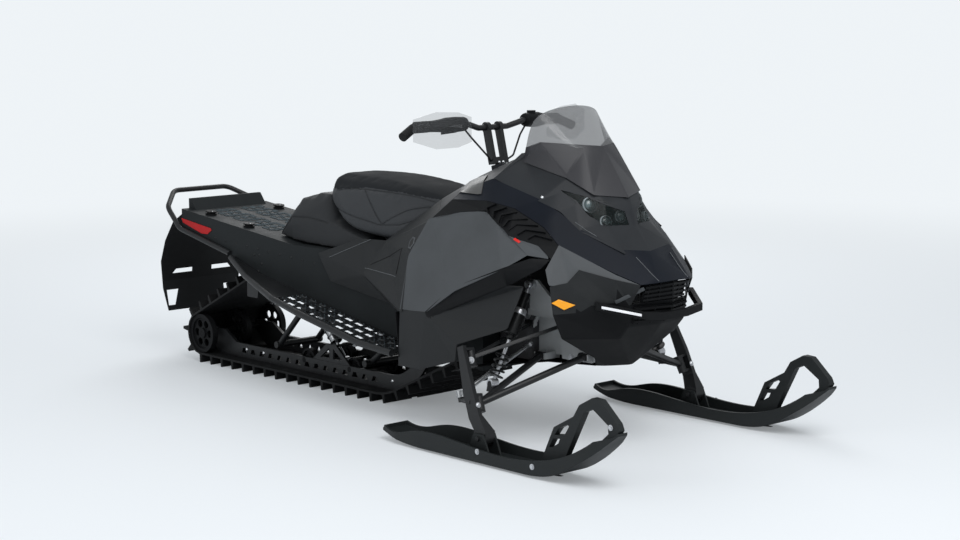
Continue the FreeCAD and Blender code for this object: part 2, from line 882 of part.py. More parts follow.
def lug_loop(shift):
    # The belt's outside with a lug at every pitch, as one closed outline
    stretches = path_stations()
    total = sum(stretch[1] for stretch in stretches)
    count = round(total / track_pitch)
    step = total / count
    corners = []
    for n in range(count):
        middle = (n + shift) * step
        for along, rise in (
            (-lug_base / 2, 0),
            (-lug_tip / 2, lug_height),
            (lug_tip / 2, lug_height),
            (lug_base / 2, 0),
            (step / 2, 0),
        ):
            corners.append(path_point(middle + along, rise, stretches, total))
    return Part.makePolygon(corners + corners[:1])


def strip(outline, near, far):
    shift = FreeCAD.Vector(0, near, 0)
    face = Part.Face(outline).cut(Part.Face(path_wire(0)))
    face.translate(shift)
    return face.extrude(FreeCAD.Vector(0, far - near, 0))


def make_track():
    half = track_width / 2
    inner = centre_strip_width / 2
    side_outline = lug_loop(0)
    centre_outline = lug_loop(1 / 2)
    strips = [
        strip(side_outline, -half, -inner),
        strip(centre_outline, -inner, inner),
        strip(side_outline, inner, half),
    ]
    return fused(strips)


def make_skid_rails():
    # A slide rail runs along the belt's inside, curves up at the front and is pierced by windows
    foot = ground_run + seam
    top = foot + rail_height
    bend = FreeCAD.Vector(rail_bend_x, 0, ground_run + rail_bend_radius)
    outer = rail_bend_radius - seam
    inner = outer - rail_height
    nose = math.radians(rail_nose_angle)
    swing = FreeCAD.Vector(math.sin(nose), 0, -math.cos(nose))
    half_swing = FreeCAD.Vector(math.sin(nose / 2), 0, -math.cos(nose / 2))
    tail_x = idler_x - rail_rear_overhang
    lift = idler_height + rail_rear_overhang / 2
    corners = [
        FreeCAD.Vector(rail_bend_x, 0, top),
        FreeCAD.Vector(idler_x + idler_radius * 2, 0, top),
        FreeCAD.Vector(idler_x + idler_radius, 0, lift),
        FreeCAD.Vector(tail_x, 0, lift),
        FreeCAD.Vector(tail_x, 0, idler_height - rail_rear_overhang / 2),
        FreeCAD.Vector(idler_x + rail_rear_overhang, 0, foot),
        FreeCAD.Vector(rail_bend_x, 0, foot),
    ]
    edges = [Part.LineSegment(a, b).toShape() for a, b in zip(corners, corners[1:])]
    low_arc = Part.Arc(corners[-1], bend + half_swing * outer, bend + swing * outer)
    high_arc = Part.Arc(bend + swing * inner, bend + half_swing * inner, corners[0])
    edges.append(low_arc.toShape())
    edges.append(Part.LineSegment(bend + swing * outer, bend + swing * inner).toShape())
    edges.append(high_arc.toShape())
    rail = Part.Face(Part.Wire(edges)).extrude(FreeCAD.Vector(0, rail_thickness, 0))
    first = idler_x + idler_radius * 2 + rail_window_length
    count = int((rail_bend_x - first) / rail_window_pitch)
    windows = []
    for n in range(count):
        start = first + n * rail_window_pitch
        low = foot + (rail_height - rail_window_height) / 2
        window = [
            FreeCAD.Vector(start, -cut_overrun, low),
            FreeCAD.Vector(start + rail_window_length, -cut_overrun, low),
            FreeCAD.Vector(start + rail_window_length * 3 / 4, -cut_overrun, low + rail_window_height),
            FreeCAD.Vector(start + rail_window_length / 4, -cut_overrun, low + rail_window_height),
        ]
        windows.append(prism(window, FreeCAD.Vector(0, rail_thickness + cut_overrun * 2, 0)))
    holes = [
        rod(
            FreeCAD.Vector(x, -cut_overrun, height),
            FreeCAD.Vector(x, rail_thickness + cut_overrun, height),
            axle_radius + seam,
        )
        for x, height in skid_axles()
    ]
    rail = rail.cut(Part.makeCompound(windows + holes))
    rail.translate(FreeCAD.Vector(0, -(rail_gauge + rail_thickness) / 2, 0))
    return both_sides(rail)


def skid_axles():
    # Rear idler axle and two bogie axles, as place and height
    bogie_height = ground_run + bogie_radius
    length = rail_bend_x - idler_x
    return [(idler_x, idler_height)] + [(idler_x + length * share, bogie_height) for share in bogie_shares]


def flat_wheel(x, side, height, radius, width, windows):
    # A wheel across Y: rim, thinner web pierced by windows, and a hub bored for its axle
    web = width / 3
    hub = axle_radius * 2
    rim = radius * 0.8
    turned = [
        FreeCAD.Vector(axle_radius + seam, -width / 2, 0),
        FreeCAD.Vector(hub, -width / 2, 0),
        FreeCAD.Vector(hub, -web / 2, 0),
        FreeCAD.Vector(rim, -web / 2, 0),
        FreeCAD.Vector(rim, -width / 2, 0),
        FreeCAD.Vector(radius, -width / 2, 0),
        FreeCAD.Vector(radius, width / 2, 0),
        FreeCAD.Vector(rim, width / 2, 0),
        FreeCAD.Vector(rim, web / 2, 0),
        FreeCAD.Vector(hub, web / 2, 0),
        FreeCAD.Vector(hub, width / 2, 0),
        FreeCAD.Vector(axle_radius + seam, width / 2, 0),
    ]
    outline = Part.Face(Part.makePolygon(turned + turned[:1]))
    wheel = outline.revolve(FreeCAD.Vector(0, 0, 0), FreeCAD.Vector(0, 1, 0), 360)
    reach = (hub + rim) / 2
    cuts = []
    for n in range(windows):
        turn = 2 * math.pi * n / windows
        foot = FreeCAD.Vector(reach * math.cos(turn), -width, reach * math.sin(turn))
        cuts.append(rod(foot, foot + FreeCAD.Vector(0, width * 2, 0), (rim - hub) * 0.36))
    if cuts:
        wheel = wheel.cut(Part.makeCompound(cuts))
    wheel.translate(FreeCAD.Vector(x, side, height))
    return wheel


def cross_rod(x, height, half_width, radius):
    return rod(FreeCAD.Vector(x, -half_width, height), FreeCAD.Vector(x, half_width, height), radius)


def make_skid_wheels():
    inboard = rail_gauge / 2 - rail_thickness / 2 - wheel_gap - wheel_width / 2
    idler, *bogies = skid_axles()
    idler_side = track_width / 2 - wheel_gap - wheel_width / 2
    shapes = [cross_rod(idler[0], idler[1], idler_side + wheel_width / 2, axle_radius)]
    for side in (-idler_side, 0, idler_side):
        shapes.append(flat_wheel(idler[0], side, idler[1], idler_radius - seam, wheel_width, 6))
    for x, height in bogies:
        shapes.append(cross_rod(x, height, (rail_gauge + rail_thickness) / 2, axle_radius))
        for side in (-inboard, inboard):
            shapes.append(flat_wheel(x, side, height, bogie_radius - seam, wheel_width, 5))
    roller_side = track_width / 4
    for side in (-roller_side, roller_side):
        shapes.append(flat_wheel(roller_x, side, roller_height, roller_radius - seam, wheel_width, 5))
    shapes.append(cross_rod(roller_x, roller_height, track_width / 2 + bracket_gap - seam, axle_radius))
    return Part.makeCompound(shapes)


def make_drive_axle():
    centre = FreeCAD.Vector(drive_x, 0, drive_height)
    axle = cross_rod(drive_x, drive_height, tunnel_width / 2 + drive_axle_overhang, drive_axle_radius)
    shapes = [axle]
    for side in (-sprocket_side, sprocket_side):
        corners = []
        for n in range(sprocket_teeth * 2):
            turn = math.pi * n / sprocket_teeth
            reach = sprocket_radius - seam if n % 2 == 0 else sprocket_root_radius
            for swing in (-sprocket_tooth_angle, sprocket_tooth_angle):
                at = turn + math.radians(swing)
                corners.append(centre + FreeCAD.Vector(math.cos(at), 0, math.sin(at)) * reach)
        disc = prism(corners, FreeCAD.Vector(0, wheel_width, 0))
        disc.translate(FreeCAD.Vector(0, side - wheel_width / 2, 0))
        shapes.append(disc)
    return fused(shapes)


def skid_bracket():
    # The triangular lattice that stands on each rail and carries the front arm's shock
    foot = ground_run + rail_height + seam * 2
    outline = [
        FreeCAD.Vector(bracket_x - bracket_length / 2, 0, foot),
        FreeCAD.Vector(bracket_x + bracket_length / 2, 0, foot),
        FreeCAD.Vector(bracket_x + bracket_length / 8, 0, foot + bracket_rise),
        FreeCAD.Vector(bracket_x - bracket_length / 8, 0, foot + bracket_rise),
    ]
    plate = prism(outline, FreeCAD.Vector(0, bracket_plate, 0))
    windows = []
    for flip in (-1, 1):
        near = bracket_x + flip * bracket_length * 0.05
        window = [
            FreeCAD.Vector(near, -cut_overrun, foot + bracket_rise * 0.18),
            FreeCAD.Vector(bracket_x + flip * bracket_length * 0.3, -cut_overrun, foot + bracket_rise * 0.18),
            FreeCAD.Vector(near, -cut_overrun, foot + bracket_rise * 0.78),
        ]
        windows.append(prism(window, FreeCAD.Vector(0, bracket_plate + cut_overrun * 2, 0)))
    plate = plate.cut(Part.makeCompound(windows))
    plate.translate(FreeCAD.Vector(0, -(rail_gauge + bracket_plate) / 2, 0))
    return plate


def make_skid_arms():
    inside = tunnel_width / 2 - tunnel_wall - seam
    between_rails = rail_gauge / 2 - rail_thickness / 2 - seam
    pairs = (
        (front_arm_top, front_arm_foot, between_rails * 0.7, shock_arm_share),
        (rear_arm_top, rear_arm_foot, between_rails * 0.85, rear_shock_share),
    )
    shapes = []
    for top, foot, side, share in pairs:
        arm = [cross_rod(top[0], top[1], inside, arm_tube_radius)]
        arm.append(cross_rod(foot[0], foot[1], between_rails, arm_tube_radius))
        for y in (-side, side):
            upper = FreeCAD.Vector(top[0], y, top[1])
            arm.append(rod(upper, FreeCAD.Vector(foot[0], y, foot[1]), arm_leg_radius))
        pin = on_arm(top, foot, share)
        arm.append(cross_rod(pin[0], pin[1], side, eye_bore - seam))
        shapes.append(fused(arm))
    plate = skid_bracket()
    crown = crown_place()
    shapes.append(fused([plate, mirrored(plate), cross_rod(crown[0], crown[1], rail_gauge / 2, eye_bore - seam)]))
    shapes.append(cross_rod(rear_shock_foot[0], rear_shock_foot[1], between_rails, eye_bore - seam))
    hanger = [
        FreeCAD.Vector(roller_x - hanger_width / 2, 0, roller_height - axle_radius * 2),
        FreeCAD.Vector(roller_x + hanger_width / 2, 0, roller_height - axle_radius * 2),
        FreeCAD.Vector(roller_x + hanger_width, 0, roller_height + hanger_rise),
        FreeCAD.Vector(roller_x - hanger_width / 2, 0, roller_height + hanger_rise),
    ]
    outer = tunnel_width / 2 - tunnel_wall - seam
    start = track_width / 2 + bracket_gap
    plate = prism(hanger, FreeCAD.Vector(0, outer - start, 0))
    plate.translate(FreeCAD.Vector(0, -outer, 0))
    shapes.append(both_sides(plate))
    return Part.makeCompound(shapes)


def shock_absorber(top, foot, body_radius, rod_radius, coil_radius, coil_low, coil_high):
    # Eye, body, rod, coil spring and lower eye along one line; the coil's places are shares of it
    run = foot - top
    across = FreeCAD.Vector(0, 1, 0)
    shapes = []
    for eye in (top, foot):
        shapes.append(rod(eye - across * eye_width / 2, eye + across * eye_width / 2, eye_radius))
    shapes.append(rod(top + run * 0.04, top + run * 0.45, body_radius))
    shapes.append(rod(top + run * 0.44, foot - run * 0.03, rod_radius))
    shapes.append(rod(top + run * coil_low, top + run * coil_high, coil_radius))
    for n in range(coil_turns):
        middle = top + run * (coil_low + (coil_high - coil_low) * n / (coil_turns - 1))
        shapes.append(Part.makeTorus(coil_radius, coil_wire_radius, middle, run))
    bores = [rod(eye - across * eye_width, eye + across * eye_width, eye_bore) for eye in (top, foot)]
    return fused(shapes).cut(Part.makeCompound(bores))


def on_arm(top, foot, share):
    # Place of the shock's upper pin along a skid arm
    return (top[0] + (foot[0] - top[0]) * share, top[1] + (foot[1] - top[1]) * share)


def crown_place():
    return (bracket_x, ground_run + rail_height + bracket_rise * 0.88)


def make_skid_shocks():
    # Centre shock down to the lattice bracket and rear shock down to its own pin between the rails
    shapes = []
    for upper, lower in (
        (on_arm(front_arm_top, front_arm_foot, shock_arm_share), crown_place()),
        (on_arm(rear_arm_top, rear_arm_foot, rear_shock_share), rear_shock_foot),
    ):
        top = FreeCAD.Vector(upper[0], 0, upper[1])
        foot = FreeCAD.Vector(lower[0], 0, lower[1])
        shock = shock_absorber(
            top, foot, shock_body_radius, shock_rod_radius, coil_radius, centre_coil_low, centre_coil_high
        )
        shapes.append(shock)
    return Part.makeCompound(shapes)


def ruled(sections):
    return Part.makeLoft([Part.makePolygon(corners + corners[:1]) for corners in sections], True, True)


def tunnel_top_at(x):
    # Height of the tunnel's top, which climbs rearward from the kink
    slope = (tunnel_rear_top - tunnel_kink_top) / (tunnel_kink_x - tunnel_rear_x)
    return tunnel_kink_top + slope * max(0, tunnel_kink_x - x)


def deck_height_at(x):
    # Height of the running board along the machine, between its measured stations
    for (x1, y1, z1), (x2, y2, z2) in zip(board_stations, board_stations[1:]):
        if x <= x2:
            break
    return z1 + (z2 - z1) * (x - x1) / (x2 - x1)


def make_tunnel():
    half = tunnel_width / 2
    top = [
        FreeCAD.Vector(tunnel_rear_x, -half, tunnel_rear_top),
        FreeCAD.Vector(tunnel_kink_x, -half, tunnel_kink_top),
        FreeCAD.Vector(tunnel_front_x, -half, tunnel_kink_top),
    ]
    bottom = [
        FreeCAD.Vector(tunnel_front_x, -half, tunnel_front_bottom),
        FreeCAD.Vector(board_stations[-2][0], -half, board_stations[-2][2] - board_thickness),
        FreeCAD.Vector(board_stations[2][0], -half, board_stations[2][2] - board_thickness * 6),
        FreeCAD.Vector(board_stations[0][0], -half, board_stations[0][2] - board_thickness),
        FreeCAD.Vector(tunnel_rear_x, -half, tunnel_rear_top - tunnel_rear_side),
    ]
    side = prism(top + bottom, FreeCAD.Vector(0, tunnel_wall, 0))
    hole = cross_rod(drive_x, drive_height, tunnel_width, drive_axle_radius + seam)
    side = side.cut(hole)
    wall = FreeCAD.Vector(0, 0, -tunnel_wall)
    lid = prism(top + [corner + wall for corner in reversed(top)], FreeCAD.Vector(0, tunnel_width, 0))
    front = Part.makeBox(
        tunnel_wall,
        tunnel_width,
        tunnel_kink_top - tunnel_front_bottom,
        FreeCAD.Vector(tunnel_front_x - tunnel_wall, -half, tunnel_front_bottom),
    )
    tail_low = tunnel_top_at(tail_front_x) - tunnel_wall
    tail = [
        FreeCAD.Vector(tunnel_rear_x, -tail_half_width, tunnel_rear_top - tunnel_wall),
        FreeCAD.Vector(tail_front_x, -tail_half_width, tail_low),
        FreeCAD.Vector(tunnel_rear_x + tail_height / 3, -tail_half_width, tunnel_rear_top + tail_height),
        FreeCAD.Vector(tunnel_rear_x, -tail_half_width, tunnel_rear_top + tail_height),
    ]
    tail = prism(tail, FreeCAD.Vector(0, tail_half_width * 2, 0))
    return fused([side, mirrored(side), lid, front, tail])


def make_running_boards():
    inner = tunnel_width / 2 + seam
    shapes = []
    for (x1, y1, z1), (x2, y2, z2) in zip(board_stations, board_stations[1:]):
        deck = [
            FreeCAD.Vector(x1, -inner, z1),
            FreeCAD.Vector(x2, -inner, z2),
            FreeCAD.Vector(x2, -y2, z2),
            FreeCAD.Vector(x1, -y1, z1),
        ]
        shapes.append(prism(deck, FreeCAD.Vector(0, 0, -board_thickness)))
    path = [FreeCAD.Vector(x, -y, z - board_thickness / 2) for x, y, z in board_stations]
    shapes.append(bent_rod(path, board_tube_radius, board_bend))
    board = fused(shapes)
    slots = []
    first = board_stations[2][0]
    count = int((board_stations[-1][0] - first) / board_hole_pitch)
    width = board_outer_y - board_tube_radius - inner
    for n in range(count):
        for row_share in (1 / 5, 1 / 2, 4 / 5):
            x = first + board_hole_pitch * (n + 1 / 2)
            y = -inner - width * row_share - board_hole_width / 2
            corner = FreeCAD.Vector(x - board_hole_length / 2, y, deck_height_at(x) - cut_overrun)
            slots.append(Part.makeBox(board_hole_length, board_hole_width, cut_overrun * 2, corner))
    return both_sides(board.cut(Part.makeCompound(slots)))


def make_rear_bumper():
    side = tunnel_width / 2 + bumper_tube_radius + seam
    low = tunnel_rear_top - tunnel_rear_side + bumper_tube_radius
    right = [
        FreeCAD.Vector(tunnel_rear_x + bumper_reach, -side, low - bumper_drop),
        FreeCAD.Vector(tunnel_rear_x, -side, low),
        FreeCAD.Vector(tunnel_rear_x - bumper_length / 2, -side, tunnel_rear_top),
        FreeCAD.Vector(tunnel_rear_x - bumper_length, -side * 0.6, tunnel_rear_top + bumper_rise),
    ]
    left = [FreeCAD.Vector(p.x, -p.y, p.z) for p in reversed(right)]
    return bent_rod(right + left, bumper_tube_radius, bumper_bend)


def make_snow_flap():
    # A hanging rubber sheet: level sections of its width, from the tunnel's end down to the hem
    rings = []
    for back_share, width_share, z_share in flap_shares:
        x = tunnel_rear_x - seam - flap_reach * back_share
        z = flap_bottom + (flap_top - flap_bottom) * z_share
        half = flap_half_width * width_share
        front = [FreeCAD.Vector(x, -half, z), FreeCAD.Vector(x, half, z)]
        back = [corner - FreeCAD.Vector(flap_thickness, 0, 0) for corner in reversed(front)]
        rings.append(front + back)
    sheet = ruled(rings)
    slots = []
    x = tunnel_rear_x - flap_reach - cut_overrun
    for outline in flap_slot_shares:
        ring = []
        for y_share, z_share in outline:
            z = flap_bottom + (flap_top - flap_bottom) * z_share
            ring.append(FreeCAD.Vector(x, flap_half_width * y_share, z))
        slot = prism(ring, FreeCAD.Vector(flap_reach + cut_overrun, 0, 0))
        slots += [slot, mirrored(slot)]
    return sheet.cut(Part.makeCompound(slots))


def make_tail_light():
    foot = FreeCAD.Vector(
        tunnel_rear_x - tail_light_depth - seam, -tail_light_half_width, tunnel_rear_top + tail_height / 8
    )
    lamp = Part.makeBox(tail_light_depth, tail_light_half_width * 2, tail_height * 3 / 4, foot)
    rear_edges = [edge for edge in lamp.Edges if abs(edge.CenterOfMass.x - foot.x) < seam]
    return lamp.makeFillet(tail_light_depth / 3, rear_edges)


def anchor_places():
    places = []
    for x in (anchor_rear_x, anchor_front_x):
        for y in (-anchor_side, anchor_side):
            places.append(FreeCAD.Vector(x, y, tunnel_top_at(x)))
    return places


def tunnel_normal():
    rise = tunnel_rear_top - tunnel_kink_top
    return FreeCAD.Vector(rise, 0, tunnel_kink_x - tunnel_rear_x).normalize()


def make_cargo_anchors():
    up = tunnel_normal()
    anchors = []
    for place in anchor_places():
        disc = Part.makeCylinder(anchor_radius, anchor_height, place, up)
        waist = Part.makeCylinder(anchor_radius * 2, anchor_height / 3, place + up * anchor_height / 3, up)
        core = Part.makeCylinder(anchor_radius * 0.72, anchor_height, place, up)
        bore = Part.makeCylinder(anchor_bore_radius, anchor_height, place, up)
        anchors.append(disc.cut(waist).fuse(core).cut(bore))
    return Part.makeCompound(anchors)


def smooth_ring(x, half, low, high):
    # A closed smooth section across the machine, drawn inside a mirrored frame of shares
    right = []
    for y_share, z_share in seat_ring_shares:
        right.append(FreeCAD.Vector(x, -half * y_share, low + (high - low) * z_share))
    left = [FreeCAD.Vector(p.x, -p.y, p.z) for p in reversed(right) if p.y != 0]
    curve = Part.BSplineCurve()
    curve.buildFromPoles(right + left, True, 3)
    return Part.Wire(curve.toShape())


def make_seat():
    # A crowned cushion that overhangs at the rear, on a narrow base that stands on the tunnel
    sections = []
    for x_share, top_share, low_share, wide_share in seat_stations_shares:
        half = seat_half_width * wide_share
        sections.append(smooth_ring(seat_x(x_share), half, seat_height * low_share, seat_height * top_share))
    cushion = Part.makeLoft(sections, True, False)
    start, end = (seat_x(share) for share in seat_base_shares)
    low = tunnel_kink_top + seam
    base = Part.makeBox(
        end - start, seat_base_half * 2, seat_height * 0.85 - low, FreeCAD.Vector(start, -seat_base_half, low)
    )
    return fused([cushion, base]).cut(make_rear_cover())


def seat_x(share):
    return seat_rear_x + (seat_front_x - seat_rear_x) * share


def make_rear_cover():
    # A faceted cover between the bare tunnel and the seat, which overhangs its front end
    sections = []
    for x_share, crease_share, top_share, wide_share, crown_share in cover_stations_shares:
        x = cover_rear_x + (cover_front_x - cover_rear_x) * x_share
        half = cover_half_width * wide_share
        right = [
            FreeCAD.Vector(x, -half, tunnel_top_at(x) + seam),
            FreeCAD.Vector(x, -half, cover_height * crease_share),
            FreeCAD.Vector(x, -cover_half_width * crown_share, cover_height * top_share),
        ]
        sections.append(right + [FreeCAD.Vector(p.x, -p.y, p.z) for p in reversed(right)])
    return ruled(sections)


def make_front_bumper():
    # A square bar that sweeps back from the nose to the jaws
    right = []
    for front, inward in zip(bumper_line(), bumper_inward_shares):
        back = front + FreeCAD.Vector(inward[0], inward[1], 0).normalize() * front_bar_depth
        half = FreeCAD.Vector(0, 0, front_bar_height / 2)
        right.append([front - half, front + half, back + half, back - half])
    left = [[FreeCAD.Vector(p.x, -p.y, p.z) for p in ring] for ring in reversed(right)]
    return ruled(right + left)


def bumper_line():
    # The bar's front line on the right: its rear end stands just off the jaw's notch
    inward = FreeCAD.Vector(bumper_inward_shares[0][0], bumper_inward_shares[0][1], 0).normalize()
    rear = cowl_place(*corner_shares["jaw_notch"]) - inward * (front_bar_depth + seam * 2)
    return [rear] + [cowl_place(*share) for share in bumper_bar_shares]


def vector(place, flip=-1):
    # A place given as length, half width and height, on the right side unless flipped
    return FreeCAD.Vector(place[0], flip * place[1], place[2])


def make_engine():
    low = cowl_place(*corner_shares["belly_rear"]).z + engine_clearance
    corner = FreeCAD.Vector(tunnel_front_x + seam, -engine_width / 2, low)
    block = Part.makeBox(engine_length, engine_width, engine_height, corner)
    upright = [edge for edge in block.Edges if edge.BoundBox.ZLength > engine_height / 2]
    return block.makeFillet(engine_length / 8, upright)


def pivot_lugs(pivot, root_y, root_low, root_high):
    # Two plates from the casting to a wishbone's pin, with the pin between them
    x, y, z = pivot
    shapes = []
    half = arm_sleeve_length / 2 + seam
    for start in (x - half - lug_thickness, x + half):
        plate = [
            FreeCAD.Vector(start, -root_y, root_low),
            FreeCAD.Vector(start, -y - arm_pin_radius, z - arm_sleeve_radius * 0.8),
            FreeCAD.Vector(start, -y - arm_pin_radius, z + arm_sleeve_radius * 0.8),
            FreeCAD.Vector(start, -root_y, root_high),
        ]
        shapes.append(prism(plate, FreeCAD.Vector(lug_thickness, 0, 0)))
    reach = FreeCAD.Vector(half + lug_thickness, 0, 0)
    shapes.append(rod(vector(pivot) - reach, vector(pivot) + reach, arm_pin_radius))
    return shapes


def make_bulkhead():
    rear = tunnel_front_x + engine_length + seam * 2
    sections = []
    front_half = bulkhead_half_width * 0.8
    front_low = bulkhead_bottom + wing_thickness
    for x, half, low in (
        (rear, bulkhead_half_width, bulkhead_bottom),
        (bulkhead_front_x, front_half, front_low),
    ):
        sections.append([
            FreeCAD.Vector(x, -half, low),
            FreeCAD.Vector(x, half, low),
            FreeCAD.Vector(x, half, bulkhead_top),
            FreeCAD.Vector(x, -half, bulkhead_top),
        ])
    box = ruled(sections)
    wing = [
        FreeCAD.Vector(rear, -bulkhead_half_width, bulkhead_top),
        FreeCAD.Vector(rear + wing_thickness * 2, -wing_half_width, bulkhead_top),
        FreeCAD.Vector(wing_front_x, -wing_half_width, bulkhead_top),
        FreeCAD.Vector(bulkhead_front_x, -bulkhead_half_width, bulkhead_top),
    ]
    wing += [FreeCAD.Vector(p.x, -p.y, p.z) for p in reversed(wing)]
    shapes = [box, prism(wing, FreeCAD.Vector(0, 0, wing_thickness))]
    right = []
    for pivot in upper_pivots:
        root = pivot[1] - arm_sleeve_radius * 2
        right += pivot_lugs(pivot, root, bulkhead_top, bulkhead_top + wing_thickness)
    for pivot in lower_pivots:
        root = bulkhead_half_width * 0.75
        right += pivot_lugs(pivot, root, pivot[2] - arm_sleeve_radius, pivot[2] + arm_sleeve_radius)
    plate = [FreeCAD.Vector(x, -bulkhead_half_width - bracket_plate, z) for x, z in cast_foot]
    right.append(prism(plate, FreeCAD.Vector(0, bracket_plate * 2, 0)))
    top = vector(shock_top)
    face = shock_top[1] - eye_width / 2 - seam
    tower = [
        FreeCAD.Vector(rear + wing_thickness * 2.4, -wing_half_width, bulkhead_top + wing_thickness),
        FreeCAD.Vector(wing_front_x, -wing_half_width, bulkhead_top + wing_thickness),
        FreeCAD.Vector(top.x + eye_radius * 1.4, -face, top.z + eye_radius),
        FreeCAD.Vector(top.x - eye_radius * 0.8, -face, top.z + eye_radius),
    ]
    slab = prism(tower, FreeCAD.Vector(0, tower_thickness, 0))
    bolt = rod(top + FreeCAD.Vector(0, eye_width / 2, 0) * 2, top - FreeCAD.Vector(0, eye_width, 0), eye_bore - seam)
    right += [slab, bolt]
    shapes += right + [mirrored(shape) for shape in right]
    return fused(shapes)


def kingpin_axis():
    lean = math.radians(kingpin_lean)
    rake = math.radians(kingpin_rake)
    return FreeCAD.Vector(-math.tan(rake), math.tan(lean), 1).normalize()


def kingpin_at(height):
    up = kingpin_axis()
    top = FreeCAD.Vector(kingpin_x, -kingpin_y, kingpin_height)
    return top + up * ((height - kingpin_height) / up.z)


def flat_leg(start, end, up):
    # A forged bar between two points, wider than it is thick
    along = (end - start).normalize()
    wide = along.cross(up).normalize() * (forged_width / 2)
    thick = along.cross(wide).normalize() * (forged_thickness / 2)
    ring = [start - wide - thick, start + wide - thick, start + wide + thick, start - wide + thick]
    return prism(ring, end - start)


def wishbone(pivots, height, leg_between):
    # A-shaped arm: a sleeve on each inner pin, two legs and the ring round the kingpin
    up = kingpin_axis()
    centre = kingpin_at(height)
    half = up * (knuckle_height / 2)
    shapes = [rod(centre - half, centre + half, knuckle_radius)]
    along = FreeCAD.Vector(arm_sleeve_length / 2, 0, 0)
    for pivot in pivots:
        shapes.append(rod(vector(pivot) - along, vector(pivot) + along, arm_sleeve_radius))
        shapes.append(leg_between(vector(pivot), centre))
    arm = fused(shapes)
    bores = [rod(centre - half * 3, centre + half * 3, kingpin_radius + knuckle_clearance)]
    for pivot in pivots:
        bores.append(rod(vector(pivot) - along * 2, vector(pivot) + along * 2, arm_pin_radius))
    return arm.cut(Part.makeCompound(bores))


def make_upper_arms():
    return both_sides(wishbone(upper_pivots, kingpin_height, lambda a, b: flat_leg(a, b, kingpin_axis())))


def make_lower_arms():
    arm = wishbone(lower_pivots, knuckle_low, lambda a, b: rod(a, b, lower_arm_radius))
    foot = vector(shock_foot)
    clevis = []
    for flip in (-1, 1):
        near = foot.y + flip * (eye_width / 2 + seam) - (lug_thickness if flip < 0 else 0)
        plate = [
            FreeCAD.Vector(foot.x - eye_radius, near, foot.z - eye_radius * 2),
            FreeCAD.Vector(foot.x + eye_radius, near, foot.z - eye_radius * 2),
            FreeCAD.Vector(foot.x + eye_radius / 2, near, foot.z + eye_radius * 0.3),
            FreeCAD.Vector(foot.x - eye_radius / 2, near, foot.z + eye_radius * 0.3),
        ]
        clevis.append(prism(plate, FreeCAD.Vector(0, lug_thickness, 0)))
    reach = FreeCAD.Vector(0, eye_width / 2 + lug_thickness, 0)
    clevis.append(rod(foot - reach, foot + reach, eye_bore - seam))
    return both_sides(fused([arm] + clevis))


def make_front_shocks():
    top = vector(shock_top)
    foot = vector(shock_foot)
    run = foot - top
    neck_end = top + run * front_body_share
    body_end = top + run * front_body_end_share
    shapes = [
        rod(top + run * 0.04, neck_end, front_neck_radius),
        rod(neck_end - run * 0.03, neck_end + run * 0.01, cap_radius),
        rod(neck_end, body_end, front_body_radius),
        rod(body_end - run * 0.01, foot - run * 0.03, shock_rod_radius),
        rod(top + run * front_coil_low, top + run * front_coil_high, coil_radius),
    ]
    for n in range(coil_turns):
        middle = top + run * (front_coil_low + (front_coil_high - front_coil_low) * n / (coil_turns - 1))
        shapes.append(Part.makeTorus(coil_radius, coil_wire_radius, middle, run))
    across = FreeCAD.Vector(0, 1, 0)
    bores = []
    for eye in (top, foot):
        shapes.append(rod(eye - across * eye_width / 2, eye + across * eye_width / 2, eye_radius))
        bores.append(rod(eye - across * eye_width, eye + across * eye_width, eye_bore))
    return both_sides(fused(shapes).cut(Part.makeCompound(bores)))


def leg_frame():
    # Directions of the ski leg: up the kingpin, outward and square to it, and forward
    up = kingpin_axis()
    out = FreeCAD.Vector(0, -1, 0)
    out = (out - up * out.dot(up)).normalize()
    return up, out, up.cross(out).normalize()


